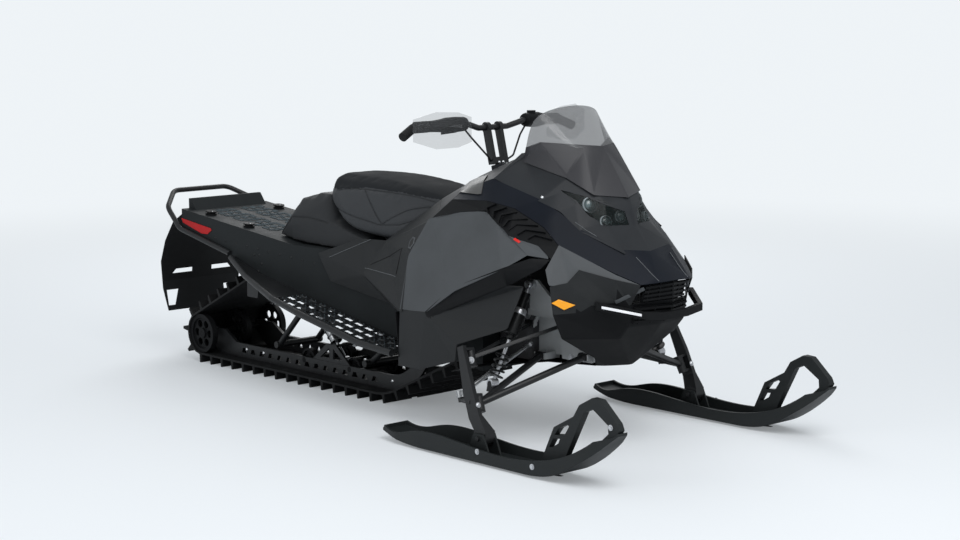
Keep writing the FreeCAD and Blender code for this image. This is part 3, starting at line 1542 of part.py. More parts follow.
def make_spindle():
    # Forged leg outboard of the kingpin, with cheeks round both wishbone rings and a steering arm
    up, out, ahead = leg_frame()
    top = kingpin_at(kingpin_height)
    low = kingpin_at(knuckle_low)
    foot = FreeCAD.Vector(ski_saddle_x, -ski_stance / 2, saddle_height)
    sections = []
    for centre, setback, width_share in (
        (top + up * (knuckle_height / 2 + cheek * 2), leg_setback, 0.7),
        (top - up * knuckle_height, leg_setback, 1.0),
        (low + up * knuckle_height, leg_setback, 1.2),
        (low - up * knuckle_height, leg_setback * 0.8, 1.3),
    ):
        middle = centre + out * setback
        wide = ahead * leg_width * width_share / 2
        deep = out * leg_depth / 2
        sections.append([middle - wide - deep, middle + wide - deep, middle + wide + deep, middle - wide + deep])
    half = saddle_gap / 2 - seam
    long = leg_width * 0.7
    for rise in (ski_bolt_radius * 3, 0):
        ring = []
        for along, side in ((-long, half), (long, half), (long, -half), (-long, -half)):
            ring.append(foot + FreeCAD.Vector(along, side, rise))
        sections.append(ring)
    shapes = [ruled(sections)]
    shapes.append(rod(foot - FreeCAD.Vector(0, half, 0), foot + FreeCAD.Vector(0, half, 0), long))
    gap = knuckle_height / 2 + knuckle_clearance
    for centre in (top, low):
        shapes.append(rod(centre - up * (gap + cheek), centre + up * (gap + cheek), kingpin_radius))
        for start in (-gap - cheek, gap):
            disc = rod(centre + up * start, centre + up * (start + cheek), knuckle_radius)
            wide = ahead * knuckle_radius
            base = centre + up * start
            reach = out * leg_setback
            web = prism([base - wide, base + wide, base + wide + reach, base - wide + reach], up * cheek)
            shapes += [disc, web]
    stud = tie_stud()
    root = kingpin_at(stud.z) + out * leg_setback
    arm_end = stud - up * (tie_rod_end_radius + knuckle_clearance)
    shapes.append(rod(root - up * tie_rod_end_radius, arm_end - up * steering_arm_thickness, steering_arm_radius))
    shapes.append(rod(arm_end - up * steering_arm_thickness * 2, arm_end, tie_rod_end_radius))
    shapes.append(rod(arm_end, stud + up * tie_rod_end_radius, stud_radius))
    bolt = FreeCAD.Vector(0, saddle_gap / 2 + saddle_plate * 2, 0)
    shapes.append(rod(foot - bolt, foot + bolt, ski_bolt_radius))
    return fused(shapes)


def tie_stud():
    up, out, ahead = leg_frame()
    return kingpin_at(stud_height) - ahead * steering_arm_length


def make_tie_rod():
    stud = tie_stud()
    up = kingpin_axis()
    inner = vector(tie_rod_inner)
    half = up * tie_rod_end_radius
    ring = rod(stud - half, stud + half, tie_rod_end_radius * 1.2)
    bar = rod(stud, inner, tie_rod_radius)
    bar = bar.cut(rod(stud - half * 2, stud + half * 2, tie_rod_end_radius))
    ball = Part.makeSphere(tie_rod_end_radius, inner)
    whole = fused([ring, bar, ball])
    return whole.cut(rod(stud - half * 2, stud + half * 2, stud_radius + knuckle_clearance))


def make_ski():
    # Shovel-shaped ski: a curved deck with raised edges, a keel below, a saddle and a grab loop
    deck_line = [ski_place(x_share, z_share) for x_share, z_share in ski_profile_shares]
    curve = Part.BSplineCurve()
    curve.interpolate(deck_line)
    under = curve.toShape()
    upper = under.copy()
    upper.translate(FreeCAD.Vector(0, 0, ski_thickness))
    rail_curve = Part.BSplineCurve()
    rail_curve.interpolate(wall_line(under))
    rail = rail_curve.toShape()
    side = FreeCAD.Vector(0, ski_width, 0)
    deck = slab_between(under, upper, side)
    walls = slab_between(under, rail, side)
    outline = ski_outline(0)
    inner = ski_outline(ski_edge)
    deck = deck.common(outline)
    walls = walls.common(outline).cut(inner)
    keel_line = [
        FreeCAD.Vector(ski_x(0.10), 0, keel_height),
        FreeCAD.Vector(ski_x(0.18), 0, 0),
        FreeCAD.Vector(ski_x(0.68), 0, 0),
        FreeCAD.Vector(ski_x(0.76), 0, keel_height),
        FreeCAD.Vector(ski_x(0.66), 0, keel_height + ski_thickness / 2),
        FreeCAD.Vector(ski_x(0.20), 0, keel_height + ski_thickness / 2),
    ]
    keel = prism(keel_line, FreeCAD.Vector(0, keel_width, 0))
    keel.translate(FreeCAD.Vector(0, -ski_stance / 2 - keel_width / 2, 0))
    shapes = [deck, walls, keel]
    for flip in (-1, 1):
        near = -ski_stance / 2 + flip * saddle_gap / 2 - (saddle_plate if flip < 0 else 0)
        plate = [
            FreeCAD.Vector(ski_saddle_x - saddle_length / 2, near, keel_height + ski_thickness / 2),
            FreeCAD.Vector(ski_saddle_x + saddle_length / 2, near, keel_height + ski_thickness / 2),
            FreeCAD.Vector(ski_saddle_x + saddle_length / 5, near, saddle_height + ski_bolt_radius * 2),
            FreeCAD.Vector(ski_saddle_x - saddle_length / 5, near, saddle_height + ski_bolt_radius * 2),
        ]
        shapes.append(prism(plate, FreeCAD.Vector(0, saddle_plate, 0)))
    loop = []
    for x_share, z_share in loop_outer_shares:
        loop.append(ski_place(x_share, z_share))
    ring = prism(loop, FreeCAD.Vector(0, loop_width, 0))
    windows = []
    for outline in loop_window_shares:
        windows.append(prism([ski_place(x, z) for x, z in outline], FreeCAD.Vector(0, loop_width, 0)))
    ring = ring.cut(Part.makeCompound(windows))
    ring.translate(FreeCAD.Vector(0, (ski_width - loop_width) / 2, 0))
    shapes.append(ring)
    ski = fused(shapes)
    reach = FreeCAD.Vector(0, ski_width, 0)
    foot = FreeCAD.Vector(ski_saddle_x, -ski_stance / 2, saddle_height)
    return ski.cut(rod(foot - reach, foot + reach, ski_bolt_radius + seam))


def wall_line(under):
    # Upper edge of the side walls, at its own height above the deck's curve
    line = []
    for x_share, height_share in ski_wall_shares:
        x = ski_x(x_share)
        place = under.Curve.value(under.Curve.parameter(FreeCAD.Vector(x, -ski_stance / 2 - ski_width / 2, 0)))
        line.append(FreeCAD.Vector(place.x, place.y, place.z + ski_wall_height * height_share))
    return line


def ski_x(share):
    return ski_tail_x + ski_length * share


def ski_place(x_share, z_share):
    return FreeCAD.Vector(ski_x(x_share), -ski_stance / 2 - ski_width / 2, ski_tip_height * z_share)


def slab_between(low, high, depth):
    ends = [
        Part.makeLine(low.Vertexes[0].Point, high.Vertexes[0].Point),
        Part.makeLine(low.Vertexes[-1].Point, high.Vertexes[-1].Point),
    ]
    return Part.Face(Part.Wire(Part.__sortEdges__([low, high] + ends))).extrude(depth)


def ski_outline(inset):
    right = []
    for x_share, side_share in ski_plan_shares:
        half = ski_width / 2 * side_share - inset
        right.append((ski_x(x_share), half))
    right[0] = (right[0][0] + inset, right[0][1])
    right[-1] = (right[-1][0] - inset, max(right[-1][1], inset))
    low = -cut_overrun
    corners = [FreeCAD.Vector(x, -ski_stance / 2 - half, low) for x, half in right]
    corners += [FreeCAD.Vector(x, -ski_stance / 2 + half, low) for x, half in reversed(right)]
    return prism(corners, FreeCAD.Vector(0, 0, ski_tip_height * 2))


def column_up():
    rake = math.radians(column_rake)
    return FreeCAD.Vector(-math.sin(rake), 0, math.cos(rake))


def column_at(height):
    # Point on the steering column's axis, by its height above the console's ridge
    rear = cowl_place(*corner_shares["console_rear"])
    front = cowl_place(*corner_shares["deck_top"])
    return rear + (front - rear) * column_foot_share + column_up() * height


def bar_centre():
    return column_at(column_reach)


def make_steering_riser():
    # Column through the console, a base block, and two legs up to the bar clamps
    up = column_up()
    ahead = FreeCAD.Vector(up.z, 0, -up.x)
    base = column_at(column_reach - riser_height)
    shapes = [rod(column_at(-column_drop), base, column_radius)]
    half = FreeCAD.Vector(0, clamp_side + clamp_width / 2, 0)
    wide = ahead * riser_depth / 2
    block = [base - half - wide, base + half - wide, base + half + wide, base - half + wide]
    shapes.append(prism(block, up * riser_block))
    for side in (-clamp_side, clamp_side):
        y = FreeCAD.Vector(0, side, 0)
        out = FreeCAD.Vector(0, clamp_width / 2, 0)
        foot = base + y
        leg = [foot - out - wide, foot + out - wide, foot + out + wide, foot - out + wide]
        shapes.append(prism(leg, up * riser_height))
        clamp = rod(bar_centre() + y - out, bar_centre() + y + out, clamp_radius)
        shapes.append(clamp)
    bar = bar_rod(bar_tube_radius + seam / 3)
    return fused(shapes).cut(bar)


def bar_path():
    corners = [bar_centre()]
    for back, y_share, rise in bar_bend_places:
        corners.append(bar_centre() + FreeCAD.Vector(back, -bar_half_width * y_share, rise))
    return corners


def bar_rod(radius):
    right = bar_path()[1:]
    left = [FreeCAD.Vector(p.x, -p.y, p.z) for p in right]
    return bent_rod(list(reversed(left)) + right, radius, bar_bend)


def make_handlebar():
    return bar_rod(bar_tube_radius)


def make_grips():
    # Soft sleeves over the bar's ends, out to the hooked tips
    start, bend, tip = bar_path()[-3:]
    along = (bend - start).normalize()
    first = bend - along * grip_length
    end = tip + (tip - bend).normalize() * grip_cap
    sleeve_shape = bent_rod([first, bend, end], grip_radius, bar_bend)
    return both_sides(sleeve_shape.cut(bar_rod(bar_tube_radius + seam / 3)))


def bar_spot(side):
    # Point on the bar's straight between its inner bend and its grip, and the bar's direction there
    start, bend = bar_path()[-3:-1]
    share = (side - abs(start.y)) / (abs(bend.y) - abs(start.y))
    return start + (bend - start) * share, (bend - start).normalize()


def make_control_pods():
    # Switch housing and thumb lever on the right, brake reservoir and lever on the left
    spot, along = bar_spot(pod_side)
    up = FreeCAD.Vector(0, 0, 1)
    ahead = along.cross(up).normalize()
    if ahead.x < 0:
        ahead = ahead * -1
    start = spot - along * pod_length / 2
    corners = []
    for a, u in pod_section_shares:
        corners.append(start + ahead * (pod_depth * a) + up * (pod_depth * u))
    housing = prism(corners, along * pod_length)
    button = rod(spot + up * pod_depth * 0.3, spot + up * (pod_depth * 0.56), kill_button_radius)
    lever = [
        spot + ahead * pod_depth * 0.2 - up * pod_depth * 0.62,
        spot + ahead * pod_depth * 0.2 + along * lever_length - up * pod_depth * 0.7,
        spot + ahead * pod_depth * 0.2 + along * lever_length - up * pod_depth * 0.5,
        spot + ahead * pod_depth * 0.2 - up * pod_depth * 0.3,
    ]
    thumb = prism(lever, ahead * -lever_thickness)
    right = fused([housing, button, thumb])
    brake = [
        spot + ahead * pod_depth * 0.4,
        spot + ahead * pod_depth * 1.1 + along * lever_length * 0.5,
        spot + ahead * pod_depth * 0.9 + along * lever_length * 1.8,
        spot + ahead * pod_depth * 0.75 + along * lever_length * 1.8,
        spot + ahead * pod_depth * 0.9 + along * lever_length * 0.5,
        spot + ahead * pod_depth * 0.4 - along * lever_thickness,
    ]
    brake = prism(brake, up * lever_thickness)
    tank = rod(spot + up * pod_depth * 0.2, spot + up * pod_depth * 0.75, pod_depth * 0.36)
    left = mirrored(fused([housing, brake, tank]))
    bar = bar_rod(bar_tube_radius + seam / 3)
    return Part.makeCompound([right.cut(bar), left.cut(bar)])


def make_hand_guards():
    # Curved wind deflectors ahead of the grips, each on a stay from the bar
    sections = []
    for reach, side, low, high in guard_stations:
        inward = FreeCAD.Vector(-guard_thickness, 0, 0)
        a = bar_centre() + FreeCAD.Vector(reach, -side, low)
        b = bar_centre() + FreeCAD.Vector(reach, -side, high)
        sections.append([a, b, b + inward, a + inward])
    guard = ruled(sections)
    spot, along = bar_spot(guard_stay_side)
    goal = FreeCAD.Vector(bar_centre().x + guard_stations[1][0] - guard_thickness / 2, spot.y, spot.z)
    stay = rod(spot, goal, guard_stay_radius)
    ring = rod(spot - along * guard_stay_radius, spot + along * guard_stay_radius, bar_tube_radius * 1.5)
    whole = fused([guard, stay, ring]).cut(bar_rod(bar_tube_radius + seam / 3))
    return both_sides(whole)


def make_control_cables():
    spot, along = bar_spot(pod_side)
    start = spot - along * (pod_length / 2 + cable_radius) - FreeCAD.Vector(0, 0, cable_drop)
    boot = column_at(column_reach - riser_height + riser_block / 2)
    end = FreeCAD.Vector(boot.x, -clamp_side - clamp_width / 2 - cable_radius / 2, boot.z)
    bow = start + (end - start) * 0.3
    near = FreeCAD.Vector(end.x + cable_drop, end.y - cable_drop * 1.6, end.z + cable_drop * 1.2)
    return both_sides(bent_rod([start, bow, near, end], cable_radius, cable_bend))


def finish_console(console):
    # Opening for the steering column with a bearing ring below it
    high = column_at(collar_rise)
    low = column_at(cut_overrun - column_drop)
    collar = rod(low, high, collar_radius)
    ring = console.fuse(collar).removeSplitter()
    return ring.cut(rod(column_at(-column_drop * 2), bar_centre(), column_radius + column_clearance))


def edge_point(names, share):
    # Point along a line of cowl corners, by its share of the line's stretches
    spot = share * (len(names) - 1)
    n = min(int(spot), len(names) - 2)
    start = cowl_place(*corner_shares[names[n]])
    return start + (cowl_place(*corner_shares[names[n + 1]]) - start) * (spot - n)


def louver_blade(share):
    # A blade bent like an arrowhead that points rearward, standing on the vent's back plate
    top = edge_point(louver_top_names, share)
    across = edge_point(louver_low_names, share) - top
    ahead = (edge_point(louver_top_names, share + 1 / louver_count) - top).normalize()
    out = ahead.cross(across).normalize()
    if out.y > 0:
        out = out * -1
    start = top + across * louver_shares[0]
    knee = top + across * louver_shares[1] - ahead * louver_sweep
    end = top + across * louver_shares[2] - ahead * (louver_sweep / 2)
    wide = ahead * louver_thickness
    ring = [start, knee, end, end + wide, knee + wide, start + wide]
    return prism([corner - out * (skin / 2) for corner in ring], out * (louver_rise + skin / 2))


def finish_louvers(plates):
    blades = [louver_blade((n + 1) / (louver_count + 1)) for n in range(louver_count)]
    sides = []
    for plate in plates.Solids:
        own = blades if plate.CenterOfMass.y < 0 else [mirrored(blade) for blade in blades]
        sides.append(fused([plate] + own))
    return Part.makeCompound(sides)


def make_reflectors():
    # Amber plates on the jaws and red ones on the tunnel's rear sides
    anchor = [cowl_place(*corner_shares[name]) for name in ("patch_low", "jaw_rear", "jaw_low")]
    normal = (anchor[1] - anchor[0]).cross(anchor[2] - anchor[0]).normalize()
    if normal.y > 0:
        normal = normal * -1
    corners = []
    for length_share, height_share in amber_shares:
        flat = cowl_place(length_share, 0, height_share)
        y = anchor[0].y - (normal.x * (flat.x - anchor[0].x) + normal.z * (flat.z - anchor[0].z)) / normal.y
        corners.append(FreeCAD.Vector(flat.x, y, flat.z) + normal * reflector_seat)
    amber = prism(corners, normal * reflector_thickness)
    corners = []
    for x_share, z_share in red_shares:
        x = tunnel_rear_x + red_length * x_share
        z = tunnel_top_at(x) - red_drop - red_height * z_share
        corners.append(FreeCAD.Vector(x, -tunnel_width / 2 - seam, z))
    red = prism(corners, FreeCAD.Vector(0, -reflector_thickness, 0))
    return Part.makeCompound([amber, mirrored(amber), red, mirrored(red)])


def make_grilles():
    # Two stacks of level slats on upright posts: one above the bumper bar and one below it
    stacks = []
    for low, high in grille_shares:
        shapes = []
        for n in range(slat_count):
            share = (n + 1 / 2) / slat_count
            side = cowl_place(*blend(low[0], high[0], share))
            middle = cowl_place(*blend(low[1], high[1], share))
            rings = [slat_ring(side), slat_ring(middle), slat_ring(FreeCAD.Vector(side.x, -side.y, side.z))]
            shapes.append(ruled(rings))
        side_low, side_high = cowl_place(*low[0]), cowl_place(*high[0])
        middle_low, middle_high = cowl_place(*low[1]), cowl_place(*high[1])
        left_low, left_high = (FreeCAD.Vector(p.x, -p.y, p.z) for p in (side_low, side_high))
        ends = ((side_low, side_high), (middle_low, middle_high), (left_low, left_high))
        shapes.append(ruled([backing_ring(bottom, top) for bottom, top in ends]))
        for share in grille_post_shares:
            foot = cowl_place(*blend(low[0], low[1], share))
            top = cowl_place(*blend(high[0], high[1], share))
            post = grille_post(foot, top)
            shapes += [post, mirrored(post)] if share < 1 else [post]
        stacks.append(fused(shapes))
    return Part.makeCompound(stacks)


def slat_ring(front):
    back = front - FreeCAD.Vector(slat_depth, 0, 0)
    half = FreeCAD.Vector(0, 0, slat_height / 2)
    return [front - half, front + half, back + half, back - half]


def backing_ring(low, high):
    # Section of the plate that closes the grille behind its slats
    near = FreeCAD.Vector(slat_depth * grille_back_share, 0, 0)
    far = FreeCAD.Vector(slat_depth, 0, 0)
    return [low - near, high - near, high - far, low - far]


def grille_post(foot, top):
    # An upright a little shallower than the slats it joins
    inset = FreeCAD.Vector(slat_depth / 4, 0, 0)
    back = FreeCAD.Vector(slat_depth, 0, 0)
    half = FreeCAD.Vector(0, grille_post_width / 2, 0)
    outline = [foot - inset - half, top - inset - half, top - back - half, foot - back - half]
    return prism(outline, half * 2)


def blend(one, two, share):
    return tuple(a + (b - a) * share for a, b in zip(one, two))


def make_marker_lights():
    # White strips let into the bumper bar's swept ends
    return both_sides(ruled([marker_ring(share) for share in marker_end_shares]))


def marker_ring(share):
    first, second = bumper_line()[:2]
    spot = first + (second - first) * share
    along = (second - first).normalize()
    out = along.cross(FreeCAD.Vector(0, 0, 1)).normalize()
    if out.y > 0:
        out = out * -1
    near = spot + out * seam
    half = FreeCAD.Vector(0, 0, marker_height / 2)
    return [near - half, near + half, near + half + out * marker_proud, near - half + out * marker_proud]


os.makedirs("parts", exist_ok=True)
skins = skin_net(corner_shares, panel_facets, cowl_place(*cowl_heart_shares), skin)
skins["console"] = finish_console(skins["console"])
skins["vent_louvers"] = finish_louvers(skins["vent_louvers"])
for panel, shape in skins.items():
    save(panel, shape)
for sheet, shape in skin_net(screen_shares, screen_facets, cowl_place(*screen_heart_shares), skin).items():
    save(sheet, shape)
save("track", make_track())
save("skid_rails", make_skid_rails())
save("skid_wheels", make_skid_wheels())
save("drive_axle", make_drive_axle())
save("skid_arms", make_skid_arms())
save("skid_shocks", make_skid_shocks())
save("tunnel", make_tunnel())
save("running_boards", make_running_boards())
save("rear_bumper", make_rear_bumper())
save("snow_flap", make_snow_flap())
save("tail_light", make_tail_light())
save("cargo_anchors", make_cargo_anchors())
save("seat", make_seat())
save("rear_cover", make_rear_cover())
save("front_bumper", make_front_bumper())
save("marker_lights", make_marker_lights())
save("reflectors", make_reflectors())
save("grilles", make_grilles())
save("engine", make_engine())
save("bulkhead", make_bulkhead())
save("upper_arms", make_upper_arms())
save("lower_arms", make_lower_arms())
save("front_shocks", make_front_shocks())
spindle = make_spindle()
ski = make_ski()
tie_rod = make_tie_rod()
for side, turn in (("right", lambda shape: shape), ("left", mirrored)):
    save("spindle_" + side, turn(spindle))
    save("ski_" + side, turn(ski))
    save("tie_rod_" + side, turn(tie_rod))
save("steering_riser", make_steering_riser())
save("handlebar", make_handlebar())
save("grips", make_grips())
save("control_pods", make_control_pods())
save("hand_guards", make_hand_guards())
save("control_cables", make_control_cables())
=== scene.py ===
import bmesh
import bpy
import json
import math
from mathutils import Matrix, Vector
from mathutils.bvhtree import BVHTree
from mathutils.kdtree import KDTree


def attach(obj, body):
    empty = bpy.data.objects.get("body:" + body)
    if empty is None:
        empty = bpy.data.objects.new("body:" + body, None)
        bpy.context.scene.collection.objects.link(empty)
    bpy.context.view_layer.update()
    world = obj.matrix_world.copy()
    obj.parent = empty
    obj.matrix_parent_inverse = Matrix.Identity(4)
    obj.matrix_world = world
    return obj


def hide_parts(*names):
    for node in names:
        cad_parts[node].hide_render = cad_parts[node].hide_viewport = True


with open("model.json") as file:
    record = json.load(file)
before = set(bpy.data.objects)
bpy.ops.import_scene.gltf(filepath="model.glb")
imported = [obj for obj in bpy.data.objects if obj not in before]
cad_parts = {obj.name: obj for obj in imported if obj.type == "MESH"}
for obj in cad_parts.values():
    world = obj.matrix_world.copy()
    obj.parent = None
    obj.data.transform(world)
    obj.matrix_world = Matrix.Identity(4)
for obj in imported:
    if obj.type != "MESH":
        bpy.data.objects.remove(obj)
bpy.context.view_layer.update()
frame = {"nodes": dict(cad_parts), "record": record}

# Studio: a pale floor under an even pale sky, one broad lamp above the nose and a weaker one behind.
# The camera stands at eye height off the machine's front right corner, as the photographer did.
view_azimuth, view_elevation, view_roll = 47.56, 8.03, -0.35
view_distance, view_lens = 7.53, 75.0
view_target = Vector((0.303, 0.0, 0.537))
azimuth, elevation, roll = (math.radians(a) for a in (view_azimuth, view_elevation, view_roll))
away = Vector((
    math.sin(azimuth) * math.cos(elevation), -math.cos(azimuth) * math.cos(elevation), math.sin(elevation)
))
level = Vector((math.cos(azimuth), math.sin(azimuth), 0.0))
upright = level.cross(-away)
across = level * math.cos(roll) + upright * math.sin(roll)
over = upright * math.cos(roll) - level * math.sin(roll)
camera = bpy.data.objects.new("camera", bpy.data.cameras.new("camera"))
camera.data.lens = view_lens
camera.data.sensor_width = 36.0
camera.matrix_world = Matrix((across, over, away)).transposed().to_4x4()
camera.location = view_target + away * view_distance
bpy.context.scene.collection.objects.link(camera)
bpy.context.scene.camera = camera

bpy.context.scene.view_settings.view_transform = "Standard"
sky = bpy.data.worlds.new("sky")
sky.use_nodes = True
bpy.context.scene.world = sky
sky_nodes, sky_links = sky.node_tree.nodes, sky.node_tree.links
sky_colour = (0.86, 0.90, 0.93, 1.0)
sky_light, sky_seen = 0.62, 1.0


def seen_directly(nodes, links):
    # 1 where the camera sees the surface, itself or through glass, and 0 where it only gives light
    ray = nodes.new("ShaderNodeLightPath")
    seen = nodes.new("ShaderNodeMath")
    seen.operation = "MAXIMUM"
    links.new(ray.outputs["Is Camera Ray"], seen.inputs[0])
    links.new(ray.outputs["Is Transmission Ray"], seen.inputs[1])
    return seen.outputs[0]


sky_strength = sky_nodes.new("ShaderNodeMapRange")
sky_strength.inputs["To Min"].default_value = sky_light
sky_strength.inputs["To Max"].default_value = sky_seen
sky_links.new(seen_directly(sky_nodes, sky_links), sky_strength.inputs["Value"])
sky_nodes["Background"].inputs["Color"].default_value = sky_colour
sky_links.new(sky_strength.outputs[0], sky_nodes["Background"].inputs["Strength"])


def lamp(name, place, target, size, power):
    # A square soft box that faces its target
    light = bpy.data.objects.new(name, bpy.data.lights.new(name, "AREA"))
    light.data.size = size
    light.data.energy = power
    light.location = place
    light.rotation_euler = (Vector(target) - Vector(place)).to_track_quat("-Z", "Y").to_euler()
    bpy.context.scene.collection.objects.link(light)


lamp("key_lamp", place=(4.0, -1.5, 4.5), target=(0.2, 0.0, 0.4), size=3.0, power=165.0)
lamp("rear_lamp", place=(-3.5, 3.0, 3.5), target=(0.0, 0.0, 0.4), size=3.0, power=85.0)
lamp("side_lamp", place=(-1.0, -5.0, 2.2), target=(0.0, 0.0, 0.4), size=3.0, power=45.0)

floor_size, floor_colour, floor_roughness = 60.0, (0.80, 0.83, 0.86, 1.0), 0.9
fade_start, fade_end, near_haze = 2.0, 8.0, 0.25
bpy.ops.mesh.primitive_plane_add(size=floor_size, location=(0.0, 0.0, 0.0))
floor = bpy.context.object
floor.name = "floor"
floor_paint = bpy.data.materials.new("floor_paint")
floor_paint.use_nodes = True
floor_nodes, floor_links = floor_paint.node_tree.nodes, floor_paint.node_tree.links
floor_nodes["Principled BSDF"].inputs["Base Color"].default_value = floor_colour
floor_nodes["Principled BSDF"].inputs["Roughness"].default_value = floor_roughness
haze = floor_nodes.new("ShaderNodeEmission")
haze.inputs["Color"].default_value = sky_colour
place_on_floor = floor_nodes.new("ShaderNodeTexCoord")
reach_on_floor = floor_nodes.new("ShaderNodeVectorMath")
reach_on_floor.operation = "LENGTH"
floor_links.new(place_on_floor.outputs["Object"], reach_on_floor.inputs[0])
fade = floor_nodes.new("ShaderNodeMapRange")
fade.interpolation_type = "SMOOTHSTEP"
fade.inputs["From Min"].default_value = fade_start
fade.inputs["From Max"].default_value = fade_end
fade.inputs["To Min"].default_value = near_haze
floor_links.new(reach_on_floor.outputs["Value"], fade.inputs["Value"])
hazed = floor_nodes.new("ShaderNodeMath")
hazed.operation = "MULTIPLY"
floor_links.new(fade.outputs[0], hazed.inputs[0])
floor_links.new(seen_directly(floor_nodes, floor_links), hazed.inputs[1])
floor_mix = floor_nodes.new("ShaderNodeMixShader")
floor_links.new(hazed.outputs[0], floor_mix.inputs[0])
floor_links.new(floor_nodes["Principled BSDF"].outputs[0], floor_mix.inputs[1])
floor_links.new(haze.outputs[0], floor_mix.inputs[2])
floor_links.new(floor_mix.outputs[0], floor_nodes["Material Output"].inputs["Surface"])
floor.data.materials.append(floor_paint)


# Cowl panels: injection-moulded nylon and polypropylene shells about 4 mm thick with softly rounded
# creases, clipped edge to edge with a narrow gap. Each is drawn over the CAD panel's outer facets.
def finish(
    name, colour, roughness, metal=0.0, coat=0.0,
    mottle=0.12, mottle_scale=7.0, grain=0.0, grain_scale=700.0, sheen=0.22,
):
    # Principled surface with cloudy colour and gloss, and a fine moulded grain in its bump
    material = bpy.data.materials.new(name)
    material.use_nodes = True
    nodes, links = material.node_tree.nodes, material.node_tree.links
    shader = nodes["Principled BSDF"]
    shader.inputs["Metallic"].default_value = metal
    shader.inputs["Coat Weight"].default_value = coat
    shader.inputs["Specular IOR Level"].default_value = 0.5 if metal > 0.6 else sheen
    place = nodes.new("ShaderNodeTexCoord")
    cloud = nodes.new("ShaderNodeTexNoise")
    cloud.inputs["Scale"].default_value = mottle_scale
    cloud.inputs["Detail"].default_value = 7.0
    cloud.inputs["Roughness"].default_value = 0.62
    links.new(place.outputs["Object"], cloud.inputs["Vector"])
    tint = nodes.new("ShaderNodeValToRGB")
    tint.color_ramp.elements[0].position = 0.3
    tint.color_ramp.elements[1].position = 0.7
    tint.color_ramp.elements[0].color = [c * (1.0 - mottle) for c in colour] + [1.0]
    tint.color_ramp.elements[1].color = [c * (1.0 + mottle) for c in colour] + [1.0]
    links.new(cloud.outputs["Fac"], tint.inputs["Fac"])
    links.new(tint.outputs["Color"], shader.inputs["Base Color"])
    gloss = nodes.new("ShaderNodeMapRange")
    gloss.inputs["From Min"].default_value = 0.3
    gloss.inputs["From Max"].default_value = 0.7
    gloss.inputs["To Min"].default_value = roughness * 0.85
    gloss.inputs["To Max"].default_value = min(roughness * 1.15, 1.0)
    links.new(cloud.outputs["Fac"], gloss.inputs["Value"])
    links.new(gloss.outputs[0], shader.inputs["Roughness"])
    if grain:
        fine = nodes.new("ShaderNodeTexNoise")
        fine.inputs["Scale"].default_value = grain_scale
        fine.inputs["Detail"].default_value = 3.0
        links.new(place.outputs["Object"], fine.inputs["Vector"])
        bump = nodes.new("ShaderNodeBump")
        bump.inputs["Strength"].default_value = grain
        bump.inputs["Distance"].default_value = 0.0006
        links.new(fine.outputs["Fac"], bump.inputs["Height"])
        links.new(bump.outputs["Normal"], shader.inputs["Normal"])
    return material


def welded(node):
    # The CAD node's mesh as a bmesh with its doubles merged
    shape = bmesh.new()
    shape.from_mesh(frame["nodes"][node].data)
    bmesh.ops.remove_doubles(shape, verts=shape.verts, dist=0.00002)
    return shape


def flattened(shape, flat):
    # Neighbouring faces within that many degrees of one plane become one facet
    bmesh.ops.dissolve_limit(shape, angle_limit=math.radians(flat), verts=shape.verts, edges=shape.edges)
    return shape


def merged_copy(node, flat=1.0):
    return flattened(welded(node), flat)


def finished(shape, name, body, material, nodes=(), smooth=35.0):
    # The bmesh becomes a piece that rides on its body and stands for its CAD nodes
    mesh = bpy.data.meshes.new(name)
    shape.to_mesh(mesh)
    shape.free()
    mesh.materials.clear()
    mesh.materials.append(material)
    mesh.polygons.foreach_set("use_smooth", [True] * len(mesh.polygons))
    mesh.polygons.foreach_set("material_index", [0] * len(mesh.polygons))
    if smooth:
        mesh.set_sharp_from_angle(angle=math.radians(smooth))
    piece = bpy.data.objects.new(name, mesh)
    bpy.context.scene.collection.objects.link(piece)
    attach(piece, body)
    if nodes:
        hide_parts(*nodes)
    return piece


def rounded(piece, width, segments=2, angle=30.0):
    # The piece's edges are broken, and its flats keep their even shading
    bevel = piece.modifiers.new("rounded", "BEVEL")
    bevel.width = width
    bevel.segments = segments
    bevel.limit_method = "ANGLE"
    bevel.angle_limit = math.radians(angle)
    bevel.harden_normals = True
    flats = piece.modifiers.new("flats", "WEIGHTED_NORMAL")
    flats.keep_sharp = True
    flats.weight = 60
    return piece


def outer_skin(shape, heart, wall=0.0085):
    # Keeps the facets that face away from the heart, and drops the rim and the inside
    rims = [f for f in shape.faces if min(e.calc_length() for e in f.edges) < wall and len(f.verts) <= 4]
    rims = [f for f in rims if f.calc_area() < wall * f.calc_perimeter() * 0.6]
    bmesh.ops.delete(shape, geom=rims, context="FACES")
    left = set(shape.faces)
    inside = []
    while left:
        island = [left.pop()]
        for face in island:
            for edge in face.edges:
                for other in edge.link_faces:
                    if other in left:
                        left.remove(other)
                        island.append(other)
        outward = sum((f.calc_center_median() - heart).dot(f.normal) * f.calc_area() for f in island)
        if outward < 0.0:
            inside += island
    bmesh.ops.delete(shape, geom=inside, context="FACES")
    return shape


hold_reach = 0.006
slot_of = {part["node"]: part["material_slot"] for part in frame["record"]["subparts"]}


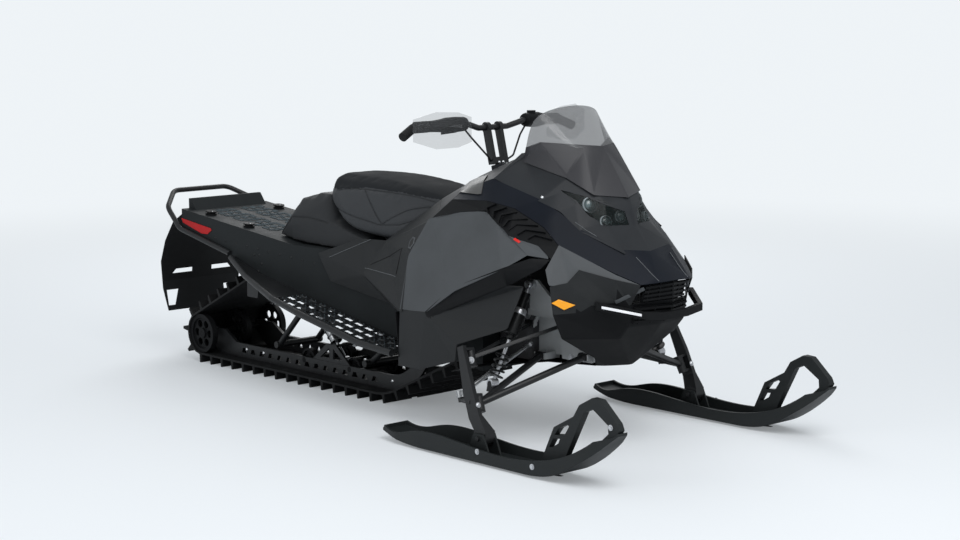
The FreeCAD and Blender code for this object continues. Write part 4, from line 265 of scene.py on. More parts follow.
def moulded_panel(
    node, name, material, heart, gap=0.0012, crease=0.006, thickness=0.0036, flat=4.0, held=None, smooth=35.0
):
    # An even wall under the node's outer facets, with rounded folds and a narrow gap round its border
    shape = flattened(outer_skin(welded(node), heart), flat)
    if held is None and crease:
        folds = [e for e in shape.edges if len(e.link_faces) == 2 and e.calc_face_angle() > math.radians(flat)]
        bmesh.ops.bevel(
            shape, geom=folds, offset=crease, segments=3, profile=0.5,
            affect="EDGES", material=-1, clamp_overlap=True,
        )
    border = bmesh.ops.inset_region(
        shape, faces=shape.faces, thickness=gap, depth=0.0, use_boundary=True, use_even_offset=True
    )
    bmesh.ops.delete(shape, geom=border["faces"], context="FACES")
    if held is not None:
        # The sheet keeps its edge along the held corners and is drawn smooth everywhere else
        edge_hold = shape.edges.layers.float.new("crease_edge")
        corner_hold = shape.verts.layers.float.new("crease_vert")
        near = {v for v in shape.verts if held.find(v.co)[2] < hold_reach}
        for corner in near:
            corner[corner_hold] = 1.0
        for edge in shape.edges:
            if edge.is_boundary and set(edge.verts) <= near:
                edge[edge_hold] = 1.0
    panel = finished(shape, name, "chassis", material, [node], smooth)
    if held is not None:
        draw = panel.modifiers.new("draw", "SUBSURF")
        draw.levels = draw.render_levels = 3
    wall = panel.modifiers.new("wall", "SOLIDIFY")
    wall.thickness = thickness
    wall.offset = -1.0
    rounded(panel, width=0.0009, segments=2, angle=50.0)
    return panel


cowl_heart = Vector((0.74, 0.0, 0.59))
hood_paint = finish("hood_paint", (0.023, 0.025, 0.028), 0.46, grain=0.08, sheen=0.14)
band_paint = finish("band_paint", (0.0075, 0.0095, 0.0145), 0.44, grain=0.06, sheen=0.10)
console_black = finish("console_black", (0.012, 0.0135, 0.0165), 0.50, grain=0.12, sheen=0.12)
panel_grey = finish("panel_grey", (0.062, 0.067, 0.072), 0.52, grain=0.14)
lower_black = finish("lower_black", (0.006, 0.0064, 0.0072), 0.56, grain=0.18, sheen=0.12)
sill_grey = finish("sill_grey", (0.020, 0.0213, 0.0225), 0.54, grain=0.16, sheen=0.16)


def two_tone(panel, material, picked):
    # The panel's picked faces take a second colour
    panel.data.materials.append(material)
    for face in panel.data.polygons:
        if picked(face.center):
            face.material_index = 1


moulded_panel("hood", "hood_shell", hood_paint, cowl_heart, crease=0.014)
moulded_panel("cowl_band", "cowl_band_shell", band_paint, cowl_heart, crease=0.0, smooth=42.0)
moulded_panel("cheeks", "cheek_shells", panel_grey, cowl_heart)
moulded_panel("side_panels", "side_panel_shells", panel_grey, cowl_heart)
lower_shells = moulded_panel("lower_panels", "lower_panel_shells", sill_grey, cowl_heart)
sill_start, sill_height, sill_slope = 0.513, 0.434, 0.387
two_tone(lower_shells, lower_black, lambda place: place.z > sill_height + sill_slope * (place.x - sill_start))
belly_shell = moulded_panel("belly_pan", "belly_pan_shell", lower_black, cowl_heart)
jaw_line, jaw_start, jaw_slope = 0.494, 1.00, 0.20
two_tone(belly_shell, sill_grey, lambda place: place.z > jaw_line + jaw_slope * max(0.0, place.x - jaw_start))
seat_heart = Vector((0.0, 0.0, 0.45))
moulded_panel("seat_fairings", "seat_fairing_shells", sill_grey, seat_heart)
console_shape = merged_copy("console", flat=2.0)
console = finished(console_shape, "console_shell", "chassis", console_black, ["console"])
rounded(console, width=0.0012)

# Windshield: two bent polycarbonate sheets on one net of corners, the lower one smoked and glossy,
# the upper one light grey and clear, screwed to the hood.
smoked = finish("smoked_screen", (0.048, 0.048, 0.052), 0.34, mottle=0.02, sheen=0.14)
clear = finish("clear_screen", (0.15, 0.153, 0.158), 0.12, mottle=0.02, sheen=0.3)
for sheet, alpha in ((smoked, 0.93), (clear, 0.56)):
    sheet.node_tree.nodes["Principled BSDF"].inputs["Alpha"].default_value = alpha
screen_heart = Vector((0.29, 0.0, 0.71))
moulded_panel("windshield_lower", "smoked_screen_sheet", smoked, screen_heart, gap=0.0002, thickness=0.003)
screen_corners = frame["nodes"]["windshield_lower"].data.vertices
joint_line = KDTree(len(screen_corners))
for n, corner in enumerate(screen_corners):
    joint_line.insert(corner.co, n)
joint_line.balance()
moulded_panel(
    "windshield_upper", "clear_screen_sheet", clear, screen_heart, gap=0.0002, thickness=0.003, held=joint_line
)

# Headlights: smoked covers over glossy black bowls. Each bowl holds round projector lenses in
# bright rings, pressed in behind the cover and aimed a little outward.
cover_glass = finish("cover_glass", (0.012, 0.017, 0.017), 0.22, mottle=0.02, sheen=0.16)
cover_glass.node_tree.nodes["Principled BSDF"].inputs["Alpha"].default_value = 0.36
moulded_panel("headlights", "headlight_covers", cover_glass, cowl_heart, crease=0.004, thickness=0.002)
bowl_depth, bowl_wall = 0.042, 0.002
bowl_black = finish("bowl_black", (0.020, 0.026, 0.025), 0.55, sheen=0.2)
bowls = outer_skin(welded("headlights"), cowl_heart)
for corner in bowls.verts:
    corner.co += (cowl_heart - corner.co).normalized() * bowl_depth
bmesh.ops.solidify(bowls, geom=bowls.faces, thickness=-bowl_wall)
finished(bowls, "headlight_bowls", "chassis", bowl_black, smooth=20.0)


def turned(profile, place, aim, steps=24):
    # A turned shape from pairs of radius and height, set at its place along its aim
    shape = bmesh.new()
    corners = [shape.verts.new((radius, 0.0, height)) for radius, height in profile]
    lines = [shape.edges.new(pair) for pair in zip(corners, corners[1:])]
    bmesh.ops.spin(
        shape, geom=corners + lines, cent=(0.0, 0.0, 0.0), axis=(0.0, 0.0, 1.0),
        angle=math.tau, steps=steps, use_merge=True, use_duplicate=False,
    )
    bmesh.ops.remove_doubles(shape, verts=shape.verts, dist=0.00001)
    bmesh.ops.recalc_face_normals(shape, faces=shape.faces)
    turn = Vector(aim).to_track_quat("Z", "Y").to_matrix().to_4x4()
    bmesh.ops.transform(shape, matrix=Matrix.Translation(place) @ turn, verts=shape.verts)
    return shape


def gathered(shapes):
    # Several shapes as one
    whole = bmesh.new()
    for shape in shapes:
        mesh = bpy.data.meshes.new("gathered")
        shape.to_mesh(mesh)
        shape.free()
        whole.from_mesh(mesh)
        bpy.data.meshes.remove(mesh)
    return whole


def mirrored(place, side):
    # A left-hand place or direction, or its mirror image where the side is -1
    return Vector((place[0], side * place[1], place[2]))


surfaces = {}


def on_surface(node, start, aim):
    # The point and outward normal where a line from the start first meets a CAD node, or None
    if node not in surfaces:
        shape = merged_copy(node)
        surfaces[node] = BVHTree.FromBMesh(shape)
        shape.free()
    place, normal, face, distance = surfaces[node].ray_cast(Vector(start), Vector(aim).normalized())
    return None if place is None else (place, normal)


lens_places = [(1.0755, 0.043, 0.8065, 0.019), (1.063, 0.1032, 0.7921, 0.019), (1.0084, 0.125, 0.8479, 0.024)]
lens_aim, lens_depth, lens_steps = (0.90, 0.36, 0.25), 0.017, 32
lens_chrome = finish("lens_chrome", (0.24, 0.27, 0.28), 0.36, metal=0.5)
lens_glass = finish("lens_glass", (0.085, 0.115, 0.12), 0.20, sheen=0.6)
rings, lenses = [], []
for x, y, z, radius in lens_places:
    ring_profile = [
        (radius * 1.18, 0.0), (radius * 1.18, 0.010), (radius, 0.013), (radius * 0.94, 0.006), (radius * 0.94, 0.0),
    ]
    dome = [(radius * 0.95 * math.cos(t), 0.004 + radius * 0.5 * math.sin(t)) for t in (0.0, 0.4, 0.8, 1.2)]
    lens_profile = [(0.0, 0.0), (radius * 0.95, 0.0)] + dome + [(0.0, 0.004 + radius * 0.5)]
    for side in (-1.0, 1.0):
        aim = mirrored(lens_aim, side).normalized()
        place = mirrored((x, y, z), side) - aim * lens_depth
        rings.append(turned(ring_profile, place, aim, lens_steps))
        lenses.append(turned(lens_profile, place, aim, lens_steps))
finished(gathered(rings), "headlight_rings", "chassis", lens_chrome)
finished(gathered(lenses), "headlight_lenses", "chassis", lens_glass)

# Seat and rear cover: moulded foam under stretched vinyl, a darker grained top on the seat and
# smooth grey sides, sewn along fine seams and stapled to a base under the edge.
def settled(piece):
    # The piece takes the shape its modifiers give it
    shaped = bpy.data.meshes.new_from_object(piece.evaluated_get(bpy.context.evaluated_depsgraph_get()))
    piece.modifiers.clear()
    piece.data = shaped
    return piece


def relaxed(shape, points, turns):
    # Each of the points moves towards the middle of its neighbours
    for turn in range(turns):
        bmesh.ops.smooth_vert(
            shape, verts=points, factor=0.5, use_axis_x=True, use_axis_y=True, use_axis_z=True
        )


def evened(cushion, turns, slack=0.0):
    # The cushion's skin without the grid's ripples, drawn in by the slack
    shape = bmesh.new()
    shape.from_mesh(cushion.data)
    relaxed(shape, shape.verts, turns)
    for corner in shape.verts:
        corner.co -= corner.normal * slack
    shape.to_mesh(cushion.data)
    shape.free()


cloth_pressure, cloth_moments = 4.0, 20


def stuffed(node, name, material, voxel, slack, swell):
    # The CAD solid drawn in by its slack, then blown up as cloth over its foam no further than its swell
    cushion = finished(merged_copy(node), name, "chassis", material, [node])
    weave = cushion.modifiers.new("weave", "REMESH")
    weave.mode = "VOXEL"
    weave.voxel_size = voxel
    settled(cushion)
    evened(cushion, 2, slack)
    drawn_in = [vertex.co.copy() for vertex in cushion.data.vertices]
    cloth = cushion.modifiers.new("filling", "CLOTH")
    cloth.settings.use_pressure = True
    cloth.settings.uniform_pressure_force = cloth_pressure
    cloth.settings.effector_weights.gravity = 0.0
    for moment in range(1, cloth_moments + 1):
        bpy.context.scene.frame_set(moment)
    settled(cushion)
    for vertex, start in zip(cushion.data.vertices, drawn_in):
        moved = vertex.co - start
        if moved.length > swell:
            vertex.co = start + moved.normalized() * swell
    evened(cushion, 3)
    cushion.data.polygons.foreach_set("use_smooth", [True] * len(cushion.data.polygons))
    return cushion


def seam_course(cushion, corners, step=0.004):
    # Points along a seam, laid on the cushion's skin
    skin_tree = BVHTree.FromPolygons(
        [vertex.co for vertex in cushion.data.vertices], [list(face.vertices) for face in cushion.data.polygons]
    )
    course = []
    for start, end in zip(corners, corners[1:]):
        start, end = Vector(start), Vector(end)
        count = max(2, round((end - start).length / step))
        for n in range(count):
            course.append(skin_tree.find_nearest(start.lerp(end, n / count))[0])
    return course


def sewn(cushion, courses, width=0.010, depth=0.0035):
    # The skin is pulled in along its seams
    tree = KDTree(sum(len(course) for course in courses))
    for n, point in enumerate(point for course in courses for point in course):
        tree.insert(point, n)
    tree.balance()
    normals = [vertex.normal.copy() for vertex in cushion.data.vertices]
    for vertex, normal in zip(cushion.data.vertices, normals):
        near = tree.find(vertex.co)[2]
        if near < width:
            vertex.co -= normal * depth * (1.0 - near / width) ** 2


def mirrored_line(corners):
    # The same line on the machine's other side
    return [(x, -y, z) for x, y, z in corners]


def wire(name, courses, radius, body, material, steps=3):
    # A thin round line along each course, as one mesh
    shapes = []
    for course in courses:
        line = bpy.data.curves.new(name + "_line", "CURVE")
        line.dimensions = "3D"
        line.bevel_depth = radius
        line.bevel_resolution = steps
        line.use_fill_caps = True
        run = line.splines.new("POLY")
        run.points.add(len(course) - 1)
        for point, place in zip(run.points, course):
            point.co = (*place, 1.0)
        holder = bpy.data.objects.new(name + "_line", line)
        bpy.context.scene.collection.objects.link(holder)
        mesh = bpy.data.meshes.new_from_object(holder.evaluated_get(bpy.context.evaluated_depsgraph_get()))
        shape = bmesh.new()
        shape.from_mesh(mesh)
        bmesh.ops.remove_doubles(shape, verts=shape.verts, dist=0.00001)
        shapes.append(shape)
        bpy.data.objects.remove(holder)
        bpy.data.curves.remove(line)
        bpy.data.meshes.remove(mesh)
    return finished(gathered(shapes), name, body, material)


def stitched(cushion, seams, welts, radius=0.0007):
    # Each seam and its mirror image pull the skin in and show as a fine welt
    courses = [seam_course(cushion, line) for seam in seams for line in (seam, mirrored_line(seam))]
    sewn(cushion, courses)
    wire(welts, courses, radius, "chassis", seam_thread)


seat_vinyl = finish("seat_vinyl", (0.036, 0.0385, 0.042), 0.56, mottle=0.10, grain=0.35, grain_scale=420.0)
crown_vinyl = finish(
    "crown_vinyl", (0.020, 0.0215, 0.0235), 0.8, mottle=0.10, grain=0.6, grain_scale=260.0, sheen=0.05
)
cover_vinyl = finish("cover_vinyl", (0.022, 0.0235, 0.0255), 0.56, mottle=0.10, grain=0.30, grain_scale=420.0)
seam_thread = finish("seam_thread", (0.014, 0.0145, 0.015), 0.6)
seat = stuffed("seat", "seat_cushion", seat_vinyl, voxel=0.006, slack=0.0035, swell=0.006)
seat_shoulder = [
    (-0.442, 0.0, 0.808), (-0.420, -0.112, 0.807), (-0.346, -0.163, 0.808),
    (-0.170, -0.173, 0.828), (0.050, -0.165, 0.822), (0.210, -0.125, 0.802),
]
seat_front_fold = [(-0.170, -0.173, 0.828), (-0.025, -0.209, 0.700)]
seat_rear_fold = [(-0.025, -0.209, 0.700), (0.100, -0.190, 0.765), (0.200, -0.150, 0.790)]
seat_ledge = [
    (-0.430, 0.0, 0.745), (-0.410, -0.110, 0.742), (-0.289, -0.192, 0.728),
    (-0.044, -0.209, 0.696), (0.069, -0.204, 0.705), (0.190, -0.170, 0.745),
]
stitched(seat, [seat_shoulder, seat_front_fold, seat_rear_fold, seat_ledge], "seat_seam_welts")


def shoulder_at(x):
    # Height of the shoulder seam at a place along the seat
    for (x1, _, z1), (x2, _, z2) in zip(seat_shoulder[1:], seat_shoulder[2:]):
        if x <= x2:
            break
    return z1 + (z2 - z1) * (x - x1) / (x2 - x1)


two_tone(seat, crown_vinyl, lambda place: place.z > shoulder_at(place.x))
rear_pad = stuffed("rear_cover", "rear_cover_pad", cover_vinyl, voxel=0.006, slack=0.005, swell=0.007)
cover_fold = [(-0.728, -0.160, 0.607), (-0.626, -0.186, 0.682), (-0.520, -0.190, 0.688), (-0.380, -0.195, 0.676)]
stitched(rear_pad, [cover_fold], "rear_cover_welts")

# Finishes of the chassis and the running gear: powder-coated and anodised metal, moulded rubber and
# plastic, each with its own cloudiness and grain.
paints = {
    "tunnel_paint": finish("tunnel_paint", (0.019, 0.0215, 0.0228), 0.55, grain=0.15, sheen=0.08),
    "black_metal": finish("black_metal", (0.011, 0.0118, 0.0128), 0.42, grain=0.1, sheen=0.35),
    "rubber": finish("rubber", (0.008, 0.0084, 0.009), 0.66, grain=0.3),
    "bare_alloy": finish("bare_alloy", (0.36, 0.37, 0.375), 0.50, metal=0.2, grain=0.3),
    "engine_alloy": finish("engine_alloy", (0.05, 0.05, 0.052), 0.6, grain=0.3),
    "red_lens": finish("red_lens", (0.42, 0.003, 0.004), 0.35, sheen=0.25),
    "amber": finish("amber", (0.95, 0.38, 0.01), 0.25, coat=0.5),
    "white_lens": finish("white_lens", (0.92, 0.92, 0.95), 0.3),
    "ski_plastic": finish("ski_plastic", (0.014, 0.0165, 0.0172), 0.48, grain=0.15),
    "guard_tint": finish("guard_tint", (0.13, 0.135, 0.14), 0.22, mottle=0.02, sheen=0.3),
    "steel": finish("steel", (0.36, 0.37, 0.38), 0.3, metal=0.9),
    "black_plastic": lower_black,
    "hood_black": hood_paint,
    "band_dark": band_paint,
    "panel_grey": panel_grey,
}
paints["guard_tint"].node_tree.nodes["Principled BSDF"].inputs["Alpha"].default_value = 0.17

# Reflectors: moulded acrylic plates, amber ones on the jaws and red ones at the tunnel's end, each
# stuck into a shallow seat.
plate_edge = 0.0008
for colour, slot, in_front in (("amber", "amber", True), ("red", "red_lens", False)):
    plates = merged_copy("reflectors")
    others = [corner for corner in plates.verts if (corner.co.x > 0.0) != in_front]
    bmesh.ops.delete(plates, geom=others, context="VERTS")
    rounded(finished(plates, colour + "_reflectors", "chassis", paints[slot], ["reflectors"]), plate_edge)

# Front shocks: gas dampers with a cast silver cap and a fat black body at the top, a ground rod and
# a short coil spring between two seats at the foot.
shock_top, shock_foot, shock_edge = Vector((0.838, 0.252, 0.566)), Vector((0.830, 0.425, 0.240)), 0.0006
neck_profile = [(0.0, 0.035), (0.015, 0.035), (0.015, 0.098), (0.0, 0.098)]
cap_profile = [(0.0, 0.092), (0.019, 0.092), (0.024, 0.098), (0.025, 0.112), (0.022, 0.118), (0.0, 0.118)]
can_profile = [(0.0, 0.114), (0.024, 0.114), (0.026, 0.119), (0.026, 0.186), (0.022, 0.191), (0.0, 0.191)]
collar_profile = [(0.0, 0.189), (0.015, 0.189), (0.015, 0.205), (0.010, 0.210), (0.0, 0.210)]
rod_profile = [(0.0, 0.205), (0.0065, 0.205), (0.0065, 0.358), (0.0, 0.358)]
eye_profile = [(0.008, -0.016), (0.015, -0.016), (0.015, 0.016), (0.008, 0.016), (0.008, -0.016)]
pin_profile = [(0.0, 0.012), (0.009, 0.012), (0.009, 0.036), (0.0, 0.036)]
spring_seats, seat_bore, seat_rim, seat_wall = (0.266, 0.341), 0.007, 0.028, 0.004
coil_start, coil_end, coil_radius, coil_wire, coil_turns = 0.270, 0.341, 0.023, 0.004, 3.4


def coil_course(start, aim, low, high, radius, turns, steps=20):
    # A helix round the line from the start along its aim
    side = aim.orthogonal().normalized()
    other = aim.cross(side)
    count = round(turns * steps)
    course = []
    for n in range(count + 1):
        turn = math.tau * turns * n / count
        height = low + (high - low) * n / count
        course.append(start + aim * height + (side * math.cos(turn) + other * math.sin(turn)) * radius)
    return course


dampers, silver, coils = [], [], []
for side in (-1.0, 1.0):
    top, foot = mirrored(shock_top, side), mirrored(shock_foot, side)
    aim = (foot - top).normalized()
    for profile in (neck_profile, can_profile, collar_profile):
        dampers.append(turned(profile, top, aim, steps=32))
    for profile in (cap_profile, rod_profile):
        silver.append(turned(profile, top, aim, steps=32))
    for height in spring_seats:
        seat_profile = [
            (seat_bore, height), (seat_rim, height), (seat_rim, height + seat_wall),
            (seat_bore, height + seat_wall), (seat_bore, height),
        ]
        dampers.append(turned(seat_profile, top, aim, steps=32))
    for eye in (top, foot):
        silver.append(turned(eye_profile, eye, (0.0, 1.0, 0.0), steps=28))
    silver.append(turned(pin_profile, top, aim, steps=20))
    coils.append(coil_course(top, aim, coil_start, coil_end, coil_radius, coil_turns))
black_anodised = finish("black_anodised", (0.012, 0.0125, 0.013), 0.3, metal=0.3)
cast_silver = finish("cast_silver", (0.50, 0.51, 0.53), 0.34, metal=0.85, grain=0.2)
for shapes, name, slot, paint in (
    (dampers, "shock_bodies", "black_metal", black_anodised),
    (silver, "shock_caps_and_rods", "steel", cast_silver),
):
    rounded(finished(gathered(shapes), name, "chassis", paint, ["front_shocks"]), shock_edge)
wire("shock_coils", coils, coil_wire, "chassis", black_anodised)

# Fasteners: zinc-plated hex bolts and washers at the suspension's joints, stainless button screws
# in the cowl and aluminium rivets along the tunnel.
zinc = finish("zinc_plate", (0.55, 0.56, 0.58), 0.30, metal=0.85)
screw_steel = finish("screw_steel", (0.72, 0.73, 0.75), 0.22, metal=0.8)


def hex_bolt(place, aim, width):
    # A chamfered hexagonal head on a thin washer, sized by its width across the flats
    corner, rise, washer_rim, washer_wall = width * 0.56, width * 0.5, width * 0.82, 0.0016
    head = [(0.0, 0.0), (corner, 0.0), (corner, width * 0.42), (width * 0.45, rise), (0.0, rise)]
    washer = [(0.0, 0.0), (washer_rim, 0.0), (washer_rim, washer_wall), (0.0, washer_wall)]
    return gathered([turned(head, place, aim, steps=6), turned(washer, place, aim, steps=20)])


def button(place, aim, radius):
    # A domed head with a socket sunk in its top
    dome = [(radius * math.cos(t), radius * 0.55 * math.sin(t)) for t in (0.0, 0.5, 1.0)]
    socket = [(radius * 0.42, radius * 0.5), (radius * 0.36, radius * 0.22), (0.0, radius * 0.22)]
    return turned([(0.0, 0.0)] + dome + socket, place, aim, steps=16)


def on_sides(places):
    # Each left-hand place and aim, with its mirror image first
    return [(mirrored(place, side), mirrored(aim, side)) for place, aim in places for side in (-1.0, 1.0)]


def on_flank(node, x, z, side, reach=0.6):
    # The point and normal on a node's outer side at that place along it
    return on_surface(node, (x, side * reach, z), (0.0, -side, 0.0))


def on_top(node, x, y):
    # The point and normal on a node's upper side
    return on_surface(node, (x, y, 1.0), (0.0, 0.0, -1.0))


arm_bolts, arm_bolt_width = [
    ((0.8513, 0.2690, 0.5660), (0.0, 1.0, 0.0)),
    ((0.905, 0.1185, 0.297), (0.0, 1.0, 0.0)),
    ((0.985, 0.1185, 0.306), (0.0, 1.0, 0.0)),
    ((0.880, 0.1185, 0.420), (0.0, 1.0, 0.0)),
    ((0.8100, 0.5084, 0.3261), (0.60, 0.73, 0.33)),
], 0.015
suspension_bolts = [hex_bolt(place, aim, arm_bolt_width) for place, aim in on_sides(arm_bolts)]
finished(gathered(suspension_bolts), "suspension_bolts", "chassis", zinc)
screw_places, screw_radius = [
    ((0.8835, 0.2379, 0.8727), (0.57, 0.63, 0.53)),
    ((0.4240, 0.0100, 0.9526), (0.97, 0.0, 0.24)),
], 0.0055
cowl_screws = [button(place, aim, screw_radius) for place, aim in on_sides(screw_places)]
finished(gathered(cowl_screws), "cowl_screws", "chassis", screw_steel)
row_start, row_pitch, row_count, row_height, row_fall, row_radius = -1.10, 0.075, 16, 0.555, 0.07, 0.0042
bracket_spots, bracket_radius = ((-0.825, 0.509), (-0.790, 0.512), (-0.776, 0.477), (-0.800, 0.444)), 0.005
rivet_spots = [
    (row_start + n * row_pitch, row_height - row_fall * n / (row_count - 1), row_radius) for n in range(row_count)
] + [(x, z, bracket_radius) for x, z in bracket_spots]
rivets = []
for x, z, radius in rivet_spots:
    for side in (-1.0, 1.0):
        place, normal = on_flank("tunnel", x, z, side)
        rivets.append(button(place, normal, radius))
finished(gathered(rivets), "tunnel_rivets", "chassis", paints["black_metal"])
loop_bolt, spindle_nut = ((1.511, 0.5485, 0.2084), (0.0, 1.0, 0.0)), ((0.8833, 0.5427, 0.1858), (0.92, 0.0, 0.4))
keel_bolts, ski_bolt_width, ski_reach = ((1.215, 0.040), (0.9500, 0.046)), 0.012, 0.8
for side_name, side in (("right", -1.0), ("left", 1.0)):
    pins = [(mirrored(place, side), mirrored(aim, side)) for place, aim in (loop_bolt, spindle_nut)]
    pins += [on_flank("ski_" + side_name, x, z, side, ski_reach) for x, z in keel_bolts]
    ski_bolts = [hex_bolt(place, aim, ski_bolt_width) for place, aim in pins]
    finished(gathered(ski_bolts), "ski_bolts_" + side_name, "ski_leg_" + side_name, zinc)

# Tunnel grip strips: self-adhesive traction tape in bluish grey, cut into slanted tiles and laid in
# rows along the tunnel's top, clear of the cargo anchors.
grip_tape = finish(
    "grip_tape", (0.088, 0.118, 0.135), 0.66, mottle=0.25, mottle_scale=30.0, grain=0.8, grain_scale=900.0, sheen=0.1
)
tile_rows, tile_half_width, tile_slant = (0.038, 0.079, 0.120), 0.0185, 0.020
tile_start, tile_pitch, tile_count, tile_length, tile_thickness = -1.262, 0.052, 9, 0.035, 0.0015
tiles = bmesh.new()
for y in tile_rows:
    for side in (-1.0, 1.0):
        for n in range(tile_count):
            x = tile_start + tile_pitch * n
            slant = tile_slant * (1.0 if n % 2 else -1.0)
            corners = []
            for along, outward in ((0.0, -1.0), (1.0, -1.0), (1.0, 1.0), (0.0, 1.0)):
                place, normal = on_top(
                    "tunnel", x + tile_length * along + slant * 0.5 * outward, side * (y + tile_half_width * outward)
                )
                corners.append(tiles.verts.new(place + normal * tile_thickness))
            tiles.faces.new(corners if side > 0.0 else corners[::-1])
bmesh.ops.solidify(tiles, geom=tiles.faces, thickness=tile_thickness)
bmesh.ops.recalc_face_normals(tiles, faces=tiles.faces)
finished(tiles, "tunnel_grip_tiles", "chassis", grip_tape, smooth=20.0)

# Small cowl fittings: a red release tab at each side panel's upper edge, a hexagonal key socket in
# each fairing, and the red stop button on the right switch housing.
signal_red = finish("signal_red", (0.55, 0.018, 0.014), 0.38)
# Near-black of the key sockets: painted shade for the depth of the holes
painted_socket_shade = finish("painted_socket_shade", (0.006, 0.006, 0.0065), 0.4)


def block(place, aim, along, length, width, height, corner=0.001):
    # A small bevelled block that stands on its place
    shape = bmesh.new()
    bmesh.ops.create_cube(shape, size=1.0)
    bmesh.ops.scale(shape, vec=(length, width, height), verts=shape.verts)
    bmesh.ops.bevel(shape, geom=shape.edges, offset=corner, segments=2, profile=0.5, affect="EDGES", material=-1)
    aim, along = Vector(aim).normalized(), Vector(along)
    along = (along - aim * along.dot(aim)).normalized()
    axes = Matrix((along, aim.cross(along), aim)).transposed().to_4x4()
    middle = Matrix.Translation(Vector(place) + aim * height / 2)
    bmesh.ops.transform(shape, matrix=middle @ axes, verts=shape.verts)
    return shape


tab_place, tab_aim, tab_run = (0.8717, 0.3476, 0.7295), (0.49, 0.51, 0.71), (1.0, -0.3, -0.6)
tabs = [
    block(*(mirrored(part, side) for part in (tab_place, tab_aim, tab_run)), length=0.026, width=0.010, height=0.003)
    for side in (-1.0, 1.0)
]
finished(gathered(tabs), "release_tabs", "chassis", signal_red)
socket_x, socket_y, socket_z = 0.3048, 0.673, 0.6701
rim_profile = [(0.0185, 0.0), (0.026, 0.0), (0.025, 0.003), (0.0195, 0.003), (0.0185, 0.0)]
hole_profile = [(0.0, 0.0), (0.0185, 0.0), (0.0185, 0.0022), (0.0, 0.0022)]
rims, holes = [], []
for side in (-1.0, 1.0):
    place, aim = on_flank("seat_fairings", socket_x, socket_z, side, socket_y)
    rims.append(turned(rim_profile, place, aim, steps=6))
    holes.append(turned(hole_profile, place, aim, steps=6))
finished(gathered(rims), "key_socket_rims", "chassis", panel_grey, smooth=20.0)
# Each socket's hole is a raised near-black disc: painted shade standing for its depth
finished(gathered(holes), "key_sockets", "chassis", painted_socket_shade, smooth=20.0)
button_place, button_aim, button_edge = (0.372, -0.222, 1.108), (0.15, 0.0, 1.0), 0.0006
button_profile = [(0.0, 0.0), (0.010, 0.0), (0.010, 0.009), (0.008, 0.012), (0.0, 0.012)]
stop_button = turned(button_profile, button_place, button_aim)
rounded(finished(stop_button, "stop_button", "handlebar", signal_red), button_edge)

# Running board grip: rows of pressed teeth that stand along the long edges of the snow holes,
# in a lighter bluish grey than the boards.
tooth_metal = finish("tooth_metal", (0.070, 0.088, 0.100), 0.45, metal=0.3, mottle=0.3, mottle_scale=60.0)
first_hole, hole_pitch, hole_count = -0.5000, 0.060, 12
hole_rows, hole_half_width = (0.2556, 0.3042, 0.3527), 0.0145
tooth_height, tooth_radius, tooth_sunk, tooth_shifts = 0.005, 0.0042, 0.0005, (-0.012, 0.012)
tooth_form = Matrix.Diagonal((1.0, 0.35, 1.0, 1.0)) @ Matrix.Rotation(math.pi / 4, 4, "Z")
teeth = bmesh.new()
for side in (-1.0, 1.0):
    for n in range(hole_count):
        for row in hole_rows:
            for edge in (-hole_half_width, hole_half_width):
                for shift in tooth_shifts:
                    x, y = first_hole + hole_pitch * (n + 0.5) + shift, side * (row + edge)
                    spot = on_top("running_boards", x, y)
                    if spot is None:
                        continue
                    base = Matrix.Translation(spot[0] + spot[1] * (tooth_height / 2 - tooth_sunk))
                    bmesh.ops.create_cone(
                        teeth, cap_ends=True, segments=4, radius1=tooth_radius, radius2=tooth_radius * 0.35,
                        depth=tooth_height, matrix=base @ tooth_form,
                    )
finished(teeth, "running_board_teeth", "chassis", tooth_metal, smooth=20.0)

# Slide rail bolts and anchor caps: bright bolt heads along the rails' outer faces, and a bright
# plug pressed into the middle of each cargo anchor.
bolt_start, bolt_pitch, bolt_count, bolt_height, bolt_radius = -1.02, 0.12, 11, 0.078, 0.0075
anchor_rows, anchor_side, plug_shift, plug_radius = (-1.1900, -0.9200), 0.178, 0.009, 0.003
rail_bolts = []
for n in range(bolt_count):
    for side in (-1.0, 1.0):
        spot = on_flank("skid_rails", bolt_start + bolt_pitch * n, bolt_height, side)
        if spot is not None:
            rail_bolts.append(button(spot[0], (0.0, side, 0.0), bolt_radius))
for x in anchor_rows:
    for side in (-1.0, 1.0):
        place, normal = on_top("cargo_anchors", x + plug_shift, side * anchor_side)
        rail_bolts.append(button(place, normal, plug_radius))
finished(gathered(rail_bolts), "rail_bolts_and_anchor_plugs", "chassis", screw_steel)

# Grille bars and shade plate: grey moulded bars that frame the upper grille on the jaws, welded on, and a
# black plate close behind its slats, painted shade for the dark space behind them.
bar_low, bar_high, bar_aim = Vector((1.2374, 0.1040, 0.5805)), Vector((1.1811, 0.1838, 0.5325)), (0.79, 0.60, -0.12)
bar_middle, bar_run = (bar_low + bar_high) / 2, bar_high - bar_low
bars = [
    block(
        *(mirrored(part, side) for part in (bar_middle, bar_aim, bar_run)),
        length=bar_run.length, width=0.013, height=0.009, corner=0.0015,
    )
    for side in (-1.0, 1.0)
]
finished(gathered(bars), "grille_side_bars", "chassis", panel_grey)
# A near-black plate behind the slats: painted shade standing for the shaded space behind the grille
grille_shade = block((1.212, 0.0, 0.548), (1.0, 0.0, 0.0), (0.0, 1.0, 0.0), length=0.19, width=0.115, height=0.003)
finished(grille_shade, "grille_shade_plate", "chassis", lower_black)

# Fuel tank: a blow-moulded black polyethylene tank under the console, bolted down in front of the
# seat's nose.
fuel_tank = block(
    (0.345, 0.0, 0.622), (0.0, 0.0, 1.0), (1.0, 0.0, 0.0), length=0.205, width=0.33, height=0.190, corner=0.032
)
finished(fuel_tank, "fuel_tank", "chassis", lower_black)

